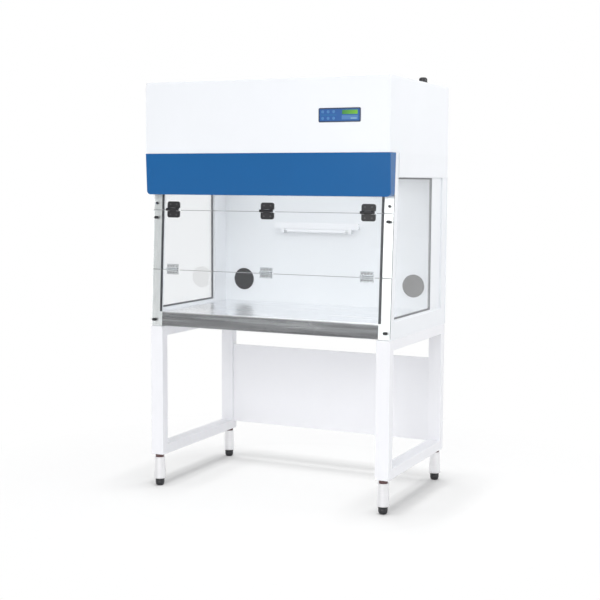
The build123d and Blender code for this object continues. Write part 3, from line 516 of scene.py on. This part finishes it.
# Worktop: one sheet of stainless steel, brushed along its length, its top near white where it mirrors the
# chamber.
# Its folded front lip is painted dark, a painted reflection of the dark room in front that it also mirrors,
# with painted highlights as bright streaks on the bend.
brushed_lines, lines_in, lines_out = new_group(
    "brushed lines",
    [("Grain", "NodeSocketVector", (5.0, 900.0, 900.0)), ("Bands", "NodeSocketVector", (2.2, 60.0, 60.0))],
    [("Lines", "NodeSocketFloat"), ("Streaks", "NodeSocketFloat")])
lines_place = brushed_lines.nodes.new("ShaderNodeTexCoord")
lines_vector = add_math(brushed_lines, "MULTIPLY", kind="ShaderNodeVectorMath")
lines_noise = add_node(brushed_lines, "ShaderNodeTexNoise", Scale=1.0, Detail=4.0, Roughness=0.65)
streak_scale = add_math(brushed_lines, "MULTIPLY", kind="ShaderNodeVectorMath")
streak_noise = add_node(brushed_lines, "ShaderNodeTexNoise", Scale=1.0, Detail=3.0, Roughness=0.5)
wire(brushed_lines,
     (lines_place, "Object", lines_vector, 0),
     (lines_in, "Grain", lines_vector, 1),
     (lines_in, "Bands", streak_scale, 1),
     (lines_vector, "Vector", lines_noise, "Vector"),
     (lines_place, "Object", streak_scale, 0),
     (streak_scale, "Vector", streak_noise, "Vector"),
     (lines_noise, "Fac", lines_out, "Lines"),
     (streak_noise, "Fac", lines_out, "Streaks"))


def brushed(name, dark, light, rough_low, rough_high, grain=(5.0, 900.0, 900.0), bands=(2.2, 60.0, 60.0)):
    """Brushed metal whose grain runs along the axis with the smallest number."""
    material, tree, shader = new_finish(name)
    shader.inputs["Metallic"].default_value = 1.0
    lines = place_group(tree, brushed_lines, Grain=grain, Bands=bands)
    ramp = add_ramp(tree, dark, light, 0.3, 0.7)
    rough = add_node(tree, "ShaderNodeMapRange", To_Min=rough_low, To_Max=rough_high)
    bump = add_node(tree, "ShaderNodeBump", Strength=0.35, Distance=0.00003)
    wire(tree,
         (lines, "Lines", ramp, "Fac"),
         (lines, "Streaks", rough, "Value"),
         (lines, "Lines", bump, "Height"),
         (ramp, "Color", shader, "Base Color"),
         (rough, "Result", shader, "Roughness"),
         (bump, "Normal", shader, "Normal"))
    return material, tree, shader, ramp, lines


worktop_steel, worktop_tree, worktop_shader, worktop_ramp, worktop_grain = brushed(
    "worktop stainless steel", (0.9, 0.905, 0.92), (0.97, 0.975, 0.985), 0.2, 0.32)
worktop_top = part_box("worktop")[1].z
# The lip's dark colour is a painted reflection, and its bright streaks are painted highlights, masked to
# the lip by height.
lip_height = worktop_tree.nodes.new("ShaderNodeSeparateXYZ")
lip_place = worktop_tree.nodes.new("ShaderNodeTexCoord")
lip_reflection_mask = add_node(worktop_tree, "ShaderNodeMapRange", From_Min=worktop_top - 0.008,
                     From_Max=worktop_top - 0.001)
lip_reflection_mix = add_mix(worktop_tree)
lip_painted_reflection = add_ramp(worktop_tree, (0.11, 0.113, 0.12), (0.34, 0.35, 0.36), 0.35, 0.68)
wire(worktop_tree,
     (lip_place, "Object", lip_height, "Vector"),
     (lip_height, "Z", lip_reflection_mask, "Value"),
     (worktop_grain, "Streaks", lip_painted_reflection, "Fac"),
     (lip_reflection_mask, "Result", lip_reflection_mix, "Factor"),
     (lip_painted_reflection, "Color", lip_reflection_mix, "A"),
     (worktop_ramp, "Color", lip_reflection_mix, "B"),
     (lip_reflection_mix, "Result", worktop_shader, "Base Color"))
dress(["worktop"], worktop_steel)


# Filter: a pack of folded glass paper in an anodised frame, over the slotted diffuser. The folds run from
# front to back, and the paper's colour is darkened in every fold as painted shade in the creases.
filter_frame_metal = brushed("anodised filter frame", (0.5, 0.51, 0.52), (0.66, 0.67, 0.68), 0.35, 0.5)[0]
dress(["hepa_frame"], filter_frame_metal)

filter_paper, paper_tree, paper_shader = new_finish("folded filter paper")
paper_place = paper_tree.nodes.new("ShaderNodeTexCoord")
paper_folds = paper_tree.nodes.new("ShaderNodeTexWave")
paper_folds.wave_type = "BANDS"
paper_folds.bands_direction = "X"
paper_folds.inputs["Scale"].default_value = 80.0
paper_folds.inputs["Distortion"].default_value = 0.4
paper_folds.inputs["Detail Scale"].default_value = 4.0
# Painted shade: the paper's colour goes dark in each fold of the wave bands.
paper_fold_shade = add_ramp(paper_tree, (0.42, 0.43, 0.43), (0.88, 0.88, 0.86))
paper_bump = add_node(paper_tree, "ShaderNodeBump", Strength=0.8, Distance=0.002)
paper_shader.inputs["Roughness"].default_value = 0.9
wire(paper_tree,
     (paper_place, "Object", paper_folds, "Vector"),
     (paper_folds, "Fac", paper_fold_shade, "Fac"),
     (paper_folds, "Fac", paper_bump, "Height"),
     (paper_fold_shade, "Color", paper_shader, "Base Color"),
     (paper_bump, "Normal", paper_shader, "Normal"))
dress(["hepa_pack"], filter_paper)


# Lamps: a fluorescent tube on a white channel behind the fascia, and a slim ultraviolet
# fitting on the back wall. Both tubes end in crimped aluminium caps.
lamp_white = painted("lamp channel enamel", (0.86, 0.87, 0.89), 0.25)
dress(["lamp_batten", "uv_lamp_base"], lamp_white)

tube_glass = mottled("coated tube glass", (0.82, 0.83, 0.86), (0.93, 0.94, 0.96),
                     rough=0.12, metallic=0.0, Scale=60.0, Detail=4.0)
dress(["lamp_tube", "uv_tube"], tube_glass)

cap_metal = brushed("tube end cap", (0.55, 0.56, 0.58), (0.75, 0.76, 0.78), 0.2, 0.35,
                    grain=(200.0, 900.0, 900.0))[0]
cap_length = 0.014
cap_roll = 0.0015
cap_seat = 0.0003
cap_lift = 0.0006
cap_sides = 28
cap_shape = bmesh.new()
for tube_name in ("lamp_tube", "uv_tube"):
    low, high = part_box(tube_name)
    tube_radius = (high.z - low.z) / 2
    middle = (low + high) / 2
    for x0, x1 in ((low.x, low.x + cap_length), (high.x - cap_length, high.x)):
        bands = [(x0, tube_radius), (x0, tube_radius + cap_seat), (x0 + cap_roll, tube_radius + cap_lift),
                 (x1 - cap_roll, tube_radius + cap_lift), (x1, tube_radius + cap_seat), (x1, tube_radius)]
        rings = []
        for x, radius in bands:
            rings.append([cap_shape.verts.new((x, middle.y + radius * math.cos(a * 2 * math.pi / cap_sides),
                                               middle.z + radius * math.sin(a * 2 * math.pi / cap_sides)))
                          for a in range(cap_sides)])
        for ring, following in zip(rings, rings[1:] + rings[:1]):
            for a in range(cap_sides):
                after = (a + 1) % cap_sides
                cap_shape.faces.new((ring[a], ring[after], following[after], following[a]))
cap_mesh = to_mesh(cap_shape, "tube caps")
add_piece("tube_caps", cap_mesh, "cabinet", "filter_frame", cap_metal)


# Sash: three sheets of clear acrylic with polished edges. The top one is screwed to steel
# rails along the side frames, the other two hang from hinges and close on rubber strips.
sash_acrylic = clear_sheet("clear acrylic", (0.985, 0.99, 0.992), index=1.49, rough=0.0)
dress(["sash_top_panel", "sash_middle_panel", "sash_bottom_panel"], sash_acrylic)
rail_steel = brushed("sash rail steel", (0.78, 0.81, 0.81), (0.95, 0.97, 0.97), 0.26, 0.42,
                     grain=(300.0, 300.0, 4.0), bands=(90.0, 40.0, 1.5))[0]
dress(["sash_rails"], rail_steel)


# Hinges: black moulded ones carry the middle panel and clear ones fold the bottom panel. Each
# leaf is screwed to the acrylic. The black pairs turn on steel pins, the clear ones on white pins.
hinge_black = moulded("hinge nylon", (0.01, 0.01, 0.012), 0.26, grain=1300.0)
dress(["upper_hinge_fixed_leaves", "upper_hinge_moving_leaves"], hinge_black)
hinge_clear = clear_sheet("clear hinge plastic", (0.9, 0.92, 0.93), index=1.49, rough=0.12)
dress(["lower_hinge_upper_leaves", "lower_hinge_lower_leaves"], hinge_clear)
pin_white = moulded("white hinge pin", (0.7, 0.71, 0.72), 0.25)
dress(["lower_hinge_pins"], pin_white)

sash_lean = math.radians(3.0)
sash_setback = 0.025
cabinet_base = 0.655
sash_foot = Vector((0.0, cad_low.y + sash_setback, cabinet_base))
sash_out = Vector((0.0, -math.cos(sash_lean), math.sin(sash_lean)))
sash_up = Vector((0.0, math.sin(sash_lean), math.cos(sash_lean)))


def on_sash(x, out, up):
    """A point on the sash, out from its face and up from the cabinet's base, in metres."""
    return Vector((x, 0, 0)) + sash_foot + sash_out * out + sash_up * up


swing_line = 0.468
fold_line = 0.231
hinge_places = (-0.417, 0.0, 0.417)
black_screws = moulded("blackened screws", (0.05, 0.05, 0.053), 0.3)
dress(["top_panel_screws"], black_screws)
grey_screws = moulded("grey hinge screws", (0.34, 0.345, 0.35), 0.35)


def hinge_screws(name, body, finish, line, up, out, shifts, radius, height):
    """The screws of one row of leaves, at shifts from each hinge's middle."""
    places = [(on_sash(x + shift, out, line + up), sash_out) for x in hinge_places for shift in shifts]
    set_screws(name, places, body, finish, radius, height, slot="black_plastic")


for side_name, up, body in (("upper", 0.0205, "cabinet"), ("lower", -0.0205, "sash_middle")):
    hinge_screws("black_hinge_screws_" + side_name, body, black_screws, line=swing_line, up=up,
                 out=0.005, shifts=(-0.014, 0.014), radius=0.0036, height=0.0007)
for side_name, up, body in (("upper", 0.0125, "sash_middle"), ("lower", -0.0125, "sash_bottom")):
    hinge_screws("clear_hinge_screws_" + side_name, body, grey_screws, line=fold_line, up=up,
                 out=0.0025, shifts=(-0.01875, -0.00625, 0.00625, 0.01875), radius=0.0042, height=0.0016)


# Edge lines: a soft grey strip along the top edge of each hinged panel, cut away where the hinges are, is a
# painted edge reflection that stands for the line the polished acrylic edge shows at the hinge line. It
# shows as a faint line across the sash.
# The grey of these strips is a painted edge reflection, laid on the face of the sash.
painted_edge_grey = moulded("grey painted edge line", (0.3, 0.305, 0.315), 0.5, grain=900.0)
edge_line_height = 0.0024
edge_line_rise = 0.0005
edge_line_gap = 0.0012
panel_half_width = 0.5125
hinge_half_width = 0.0315
for line, body in ((swing_line, "sash_middle"), (fold_line, "sash_bottom")):
    strip = bmesh.new()
    stops = [-panel_half_width, panel_half_width]
    stops[1:1] = [x + side * hinge_half_width for x in hinge_places for side in (-1, 1)]
    for start, end in zip(stops[0::2], stops[1::2]):
        top = line - edge_line_gap
        corners = [(0.0, top), (edge_line_rise, top - edge_line_rise), (edge_line_rise, top - edge_line_height + edge_line_rise),
                   (0.0, top - edge_line_height)]
        near = [strip.verts.new(on_sash(start, out, up)) for out, up in corners]
        far = [strip.verts.new(on_sash(end, out, up)) for out, up in corners]
        for index in range(4):
            after = (index + 1) % 4
            strip.faces.new((near[index], near[after], far[after], far[index]))
        strip.faces.new(near)
        strip.faces.new(far)
    strip_mesh = to_mesh(strip, "painted edge line")
    add_piece("edge_trim_" + body, strip_mesh, body, "seal_rubber", painted_edge_grey)


# Catches and studs: small black blocks that meet and hold the bottom panel when it is folded
# up against the middle one.
dress(["sash_catches", "sash_studs"], black_nylon)


# Fan: a galvanised intake tray with a pleated prefilter, a spun inlet, and a backward-curved
# wheel on its motor, hung under the tray on four rods.
galvanised = brushed("galvanised sheet", (0.42, 0.44, 0.46), (0.62, 0.64, 0.66), 0.35, 0.55,
                     grain=(90.0, 90.0, 90.0), bands=(25.0, 25.0, 25.0))[0]
dress(["intake_box", "fan_inlet_ring", "fan_impeller", "motor_bracket"], galvanised)
motor_enamel = painted("motor enamel", (0.02, 0.02, 0.022), 0.4)
dress(["fan_motor"], motor_enamel)

fibre_pad = mottled("prefilter fibre", (0.55, 0.57, 0.58), (0.85, 0.86, 0.86),
                    rough=0.95, metallic=0.0, lift=(0.7, 0.0006), Scale=600.0, Detail=6.0, Roughness=0.7)
dress(["prefilter"], fibre_pad)


# Hood: a U-shaped casing, a front cover whose returns tuck inside it, a lid with rounded
# edges and a slotted intake grille, all powder-coated white, with a black gland on the lid.
hood_white = painted("hood powder coat", (0.86, 0.875, 0.9), 0.32)
dress(["hood_casing", "hood_front_cover", "roof_panel", "prefilter_grille"], hood_white)
dress(["cable_gland"], black_nylon)
grille_low, grille_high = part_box("prefilter_grille")
grille_edge = 0.01
grille_places = [((x, y, grille_high.z), (0, 0, 1))
                 for x in (grille_low.x + grille_edge, grille_high.x - grille_edge)
                 for y in (grille_low.y + grille_edge, grille_high.y - grille_edge)]
set_screws("grille_screws", grille_places, "cabinet", bright_steel, radius=0.004, height=0.0016)


# Fascia: a front shell folded and welded from sheet and painted gloss blue. It is open behind
# and hides the lamp.
fascia_blue, fascia_tree, fascia_shader = new_finish("fascia gloss blue")
fascia_skin = place_group(fascia_tree, sprayed_skin, Colour=(0.002, 0.105, 0.315, 1), Gloss=0.2,
                          Peel_Size=260.0, Drift=0.06)
lay_skin(fascia_tree, fascia_skin, fascia_shader, strength=0.5, lift=0.00004)
fill(fascia_shader, {"Specular IOR Level": 0.3, "Coat Weight": 0.1, "Coat Roughness": 0.14})
dress(["fascia"], fascia_blue)


# Controls: a printed polyester film with domed keys over a small switch board, and a
# backlit two-line display behind a clear window in the film.
panel_box, box_in, box_out = new_group(
    "printed box",
    [("Vector", "NodeSocketVector", None), ("Centre", "NodeSocketVector", None),
     ("Half Size", "NodeSocketVector", None), ("Corner", "NodeSocketFloat", 0.002),
     ("Edge", "NodeSocketFloat", 0.0004)],
    [("Mask", "NodeSocketFloat")])
box_shift = add_math(panel_box, "SUBTRACT", kind="ShaderNodeVectorMath")
box_fold = add_math(panel_box, "ABSOLUTE", kind="ShaderNodeVectorMath")
box_over = add_math(panel_box, "SUBTRACT", kind="ShaderNodeVectorMath")
box_inset = add_math(panel_box, "ADD", kind="ShaderNodeVectorMath")
box_clamp = add_math(panel_box, "MAXIMUM", kind="ShaderNodeVectorMath")
box_reach = add_math(panel_box, "LENGTH", kind="ShaderNodeVectorMath")
box_mask = add_math(panel_box, "SUBTRACT")
box_mask.use_clamp = True
box_soft = add_math(panel_box, "DIVIDE")
box_soft.use_clamp = True
wire(panel_box,
     (box_in, "Vector", box_shift, 0),
     (box_in, "Centre", box_shift, 1),
     (box_shift, "Vector", box_fold, 0),
     (box_fold, "Vector", box_over, 0),
     (box_in, "Half Size", box_over, 1),
     (box_over, "Vector", box_inset, 0),
     (box_in, "Corner", box_inset, 1),
     (box_inset, "Vector", box_clamp, 0),
     (box_clamp, "Vector", box_reach, 0),
     (box_in, "Corner", box_mask, 0),
     (box_reach, "Value", box_mask, 1),
     (box_mask, 0, box_soft, 0),
     (box_in, "Edge", box_soft, 1),
     (box_soft, 0, box_out, "Mask"))


def print_box(tree, place, under, colour, centre, half, corner, edge):
    """Prints a rounded box of one colour over what is already printed, at (x, z) on the film."""
    mask = place_group(tree, panel_box, Centre=(centre[0], 0, centre[1]), Half_Size=(half[0], 1, half[1]),
                       Corner=corner, Edge=edge)
    over = add_mix(tree, B=(*colour, 1))
    tree.links.new(place, mask.inputs["Vector"])
    wire(tree, (mask, "Mask", over, "Factor"))
    tree.links.new(under, over.inputs["A"])
    return over.outputs["Result"]


film_low, film_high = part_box("control_overlay")
film_centre = (film_low + film_high) / 2
film_print, film_tree, film_shader = new_finish("printed control film")
film_place = film_tree.nodes.new("ShaderNodeTexCoord")
film_base = film_tree.nodes.new("ShaderNodeRGB")
film_base.outputs[0].default_value = (0.012, 0.035, 0.085, 1)
film_face = film_place.outputs["Object"]
# The prints, as (colour, shift from the middle, half size, corner, soft edge), one over another.
film_prints = [((0.008, 0.095, 0.33), (0.0, 0.0), (0.0795, 0.0215), 0.003, 0.0004),
               ((0.006, 0.16, 0.36), (-0.043, 0.0), (0.031, 0.003), 0.001, 0.002),
               ((0.07, 0.2, 0.45), (0.041, -0.009), (0.033, 0.0085), 0.002, 0.002),
               ((0.3, 0.5, 0.62), (0.056, -0.0125), (0.012, 0.0028), 0.001, 0.0015)]
ink = film_base.outputs[0]
for colour, shift, half, corner, edge in film_prints:
    centre = (film_centre.x + shift[0], film_centre.z + shift[1])
    ink = print_box(film_tree, film_face, ink, colour, centre, half, corner, edge)
film_tree.links.new(ink, film_shader.inputs["Base Color"])
film_matt = add_node(film_tree, "ShaderNodeTexNoise", Scale=2500.0, Detail=2.0)
film_rough = add_node(film_tree, "ShaderNodeMapRange", To_Min=0.28, To_Max=0.42)
film_bump = add_node(film_tree, "ShaderNodeBump", Strength=0.3, Distance=0.00002)
film_tree.links.new(film_face, film_matt.inputs["Vector"])
wire(film_tree,
     (film_matt, "Fac", film_rough, "Value"),
     (film_matt, "Fac", film_bump, "Height"),
     (film_rough, "Result", film_shader, "Roughness"),
     (film_bump, "Normal", film_shader, "Normal"))
dress(["control_overlay"], film_print)

key_film = moulded("key domes", (0.05, 0.2, 0.46), 0.3, grain=2200.0)
dress(["control_keys"], key_film)

lens_low, lens_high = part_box("display_window")
display_lens, lens_tree, lens_shader = new_finish("backlit display")
lens_place = lens_tree.nodes.new("ShaderNodeTexCoord")
lens_glow = add_node(lens_tree, "ShaderNodeMapRange", From_Min=lens_low.x, From_Max=lens_high.x)
lens_split = lens_tree.nodes.new("ShaderNodeSeparateXYZ")
lens_ramp = add_ramp(lens_tree, (0.045, 0.2, 0.05), (0.16, 0.42, 0.04))
lens_shader.inputs["Roughness"].default_value = 0.12
lens_shader.inputs["Emission Strength"].default_value = 0.25
wire(lens_tree,
     (lens_place, "Object", lens_split, "Vector"),
     (lens_split, "X", lens_glow, "Value"),
     (lens_glow, "Result", lens_ramp, "Fac"),
     (lens_ramp, "Color", lens_shader, "Base Color"),
     (lens_ramp, "Color", lens_shader, "Emission Color"))
dress(["display_window"], display_lens)
housing_grey = moulded("controller housing", (0.35, 0.35, 0.34), 0.45)
dress(["controller_box"], housing_grey)


# Studio: a white floor that fades into a white room, soft boxes in front, above and to the
# right, the cabinet's own lamp, and the camera at the photograph's place.
floor_mesh = bpy.data.meshes.new("studio floor")
floor_shape = bmesh.new()
bmesh.ops.create_circle(floor_shape, cap_ends=True, segments=96, radius=30.0)
floor_shape.to_mesh(floor_mesh)
floor_shape.free()
floor = bpy.data.objects.new("studio_floor", floor_mesh)
bpy.context.scene.collection.objects.link(floor)
floor_paint, floor_tree, floor_shader = new_finish("studio floor paint")
floor_shader.inputs["Base Color"].default_value = (0.25, 0.25, 0.25, 1)
floor_shader.inputs["Roughness"].default_value = 1.0
floor_shader.inputs["Specular IOR Level"].default_value = 0.0


def seen_directly(tree):
    """A value of 1 on rays from the camera, from metal and through glass, and 0 on others."""
    rays = tree.nodes.new("ShaderNodeLightPath")
    first = add_math(tree, "MAXIMUM")
    both = add_math(tree, "MAXIMUM")
    wire(tree,
         (rays, "Is Camera Ray", first, 0),
         (rays, "Is Glossy Ray", first, 1),
         (first, 0, both, 0),
         (rays, "Is Transmission Ray", both, 1))
    return both.outputs[0], rays


floor_white = add_node(floor_tree, "ShaderNodeEmission", Strength=1.0, Color=(1, 1, 1, 1))
floor_place = floor_tree.nodes.new("ShaderNodeTexCoord")
floor_reach = add_math(floor_tree, "LENGTH", kind="ShaderNodeVectorMath")
floor_fade = add_node(floor_tree, "ShaderNodeMapRange", From_Min=0.75, From_Max=1.5,
                      To_Min=0.3, To_Max=1.0)
floor_share = add_math(floor_tree, "MULTIPLY")
wire(floor_tree,
     (floor_place, "Object", floor_reach, 0),
     (floor_reach, "Value", floor_fade, "Value"),
     (floor_fade, "Result", floor_share, 0))
floor_tree.links.new(seen_directly(floor_tree)[0], floor_share.inputs[1])
floor_mix = floor_tree.nodes.new("ShaderNodeMixShader")
wire(floor_tree,
     (floor_share, 0, floor_mix, "Fac"),
     (floor_shader, "BSDF", floor_mix, 1),
     (floor_white, "Emission", floor_mix, 2),
     (floor_mix, "Shader", floor_tree.nodes["Material Output"], "Surface"))
floor_mesh.materials.append(floor_paint)

room = bpy.data.worlds.new("studio room")
bpy.context.scene.world = room
room.use_nodes = True
room_tree = room.node_tree
room_light = room_tree.nodes["Background"]
room_light.inputs["Color"].default_value = (0.95, 0.97, 1.0, 1)
room_light.inputs["Strength"].default_value = 0.66
room_white = add_node(room_tree, "ShaderNodeBackground", Strength=1.0, Color=(1, 1, 1, 1))
room_front = add_node(room_tree, "ShaderNodeBackground", Strength=0.16, Color=(1, 1, 1, 1))
room_place = room_tree.nodes.new("ShaderNodeTexCoord")
room_split = room_tree.nodes.new("ShaderNodeSeparateXYZ")
room_turn = add_node(room_tree, "ShaderNodeMapRange", From_Min=-0.28, From_Max=-0.6)
room_ahead = add_node(room_tree, "ShaderNodeMapRange", From_Min=-0.3, From_Max=-0.6)
room_dark = add_math(room_tree, "MULTIPLY")
room_only = add_math(room_tree, "MULTIPLY")
room_seen, room_rays = seen_directly(room_tree)
wire(room_tree,
     (room_place, "Generated", room_split, "Vector"),
     (room_split, "X", room_turn, "Value"),
     (room_split, "Y", room_ahead, "Value"),
     (room_turn, "Result", room_dark, 0),
     (room_ahead, "Result", room_dark, 1),
     (room_dark, 0, room_only, 0),
     (room_rays, "Is Glossy Ray", room_only, 1))
room_sides = room_tree.nodes.new("ShaderNodeMixShader")
wire(room_tree,
     (room_only, 0, room_sides, "Fac"),
     (room_white, "Background", room_sides, 1),
     (room_front, "Background", room_sides, 2))
room_mix = room_tree.nodes.new("ShaderNodeMixShader")
room_tree.links.new(room_seen, room_mix.inputs["Fac"])
wire(room_tree,
     (room_light, "Background", room_mix, 1),
     (room_sides, "Shader", room_mix, 2),
     (room_mix, "Shader", room_tree.nodes["World Output"], "Surface"))


def soft_lamp(name, place, target, size, watts, depth=None):
    """A white soft box aimed at a point."""
    data = bpy.data.lights.new(name, "AREA")
    data.energy = watts
    data.size = size
    if depth:
        data.shape = "RECTANGLE"
        data.size_y = depth
    lamp = bpy.data.objects.new(name, data)
    bpy.context.scene.collection.objects.link(lamp)
    aim = (Vector(target) - Vector(place)).to_track_quat("-Z", "Y")
    lamp.matrix_world = Matrix.Translation(place) @ aim.to_matrix().to_4x4()
    return lamp


soft_lamp("front_soft_box", (0.3, -4.6, 2.2), (0, 0, 1.0), size=2.4, watts=84.0)
soft_lamp("right_soft_box", (2.6, 0.1, 2.2), (0.5, 0, 1.5), size=1.0, watts=21.0)
soft_lamp("top_soft_box", (0.0, 0.3, 4.2), (0, 0, 0.5), size=2.4, watts=26.0)
soft_lamp("chamber_light", (0.0, 0.0, 1.249), (0.0, 0.0, 0.7), size=0.86, watts=1.5, depth=0.44)

# The floor's own lamp falls on the floor alone, and only the stand stands in its way, so the
# soft shadows lie under the rails and the rear panel as in the photograph.
floor_lamp = soft_lamp("floor_soft_box", (0.0, 0.0, 8.0), (0.0, 0.0, 0.0), size=4.6, watts=2150.0)
floor_only = bpy.data.collections.new("lit by the floor lamp")
floor_only.objects.link(floor)
stand_only = bpy.data.collections.new("shades the floor lamp")
for name in ("stand_frame_left", "stand_frame_right", "stand_rear_panel", "foot_sleeves", "foot_collars"):
    stand_only.objects.link(cad_nodes[name])
floor_lamp.light_linking.receiver_collection = floor_only
floor_lamp.light_linking.blocker_collection = stand_only

camera_data = bpy.data.cameras.new("photograph")
camera_data.sensor_width = 36.0
camera_data.lens = 72.04
camera_data.clip_end = 100.0
camera = bpy.data.objects.new("photograph", camera_data)
bpy.context.scene.collection.objects.link(camera)
camera_place = (2.0861, -4.3842, 1.2332)
yaw, pitch, roll = 0.4429, 0.0979, 0.005
look = Vector((-math.sin(yaw) * math.cos(pitch), math.cos(yaw) * math.cos(pitch), -math.sin(pitch)))
level = Vector((math.cos(yaw), math.sin(yaw), 0.0))
upright = level.cross(look)
across = level * math.cos(roll) + upright * math.sin(roll)
above = upright * math.cos(roll) - level * math.sin(roll)
turned = Matrix((across, above, -look)).transposed().to_4x4()
camera.matrix_world = Matrix.Translation(camera_place) @ turned
bpy.context.scene.camera = camera

bpy.context.scene.view_settings.view_transform = "Standard"
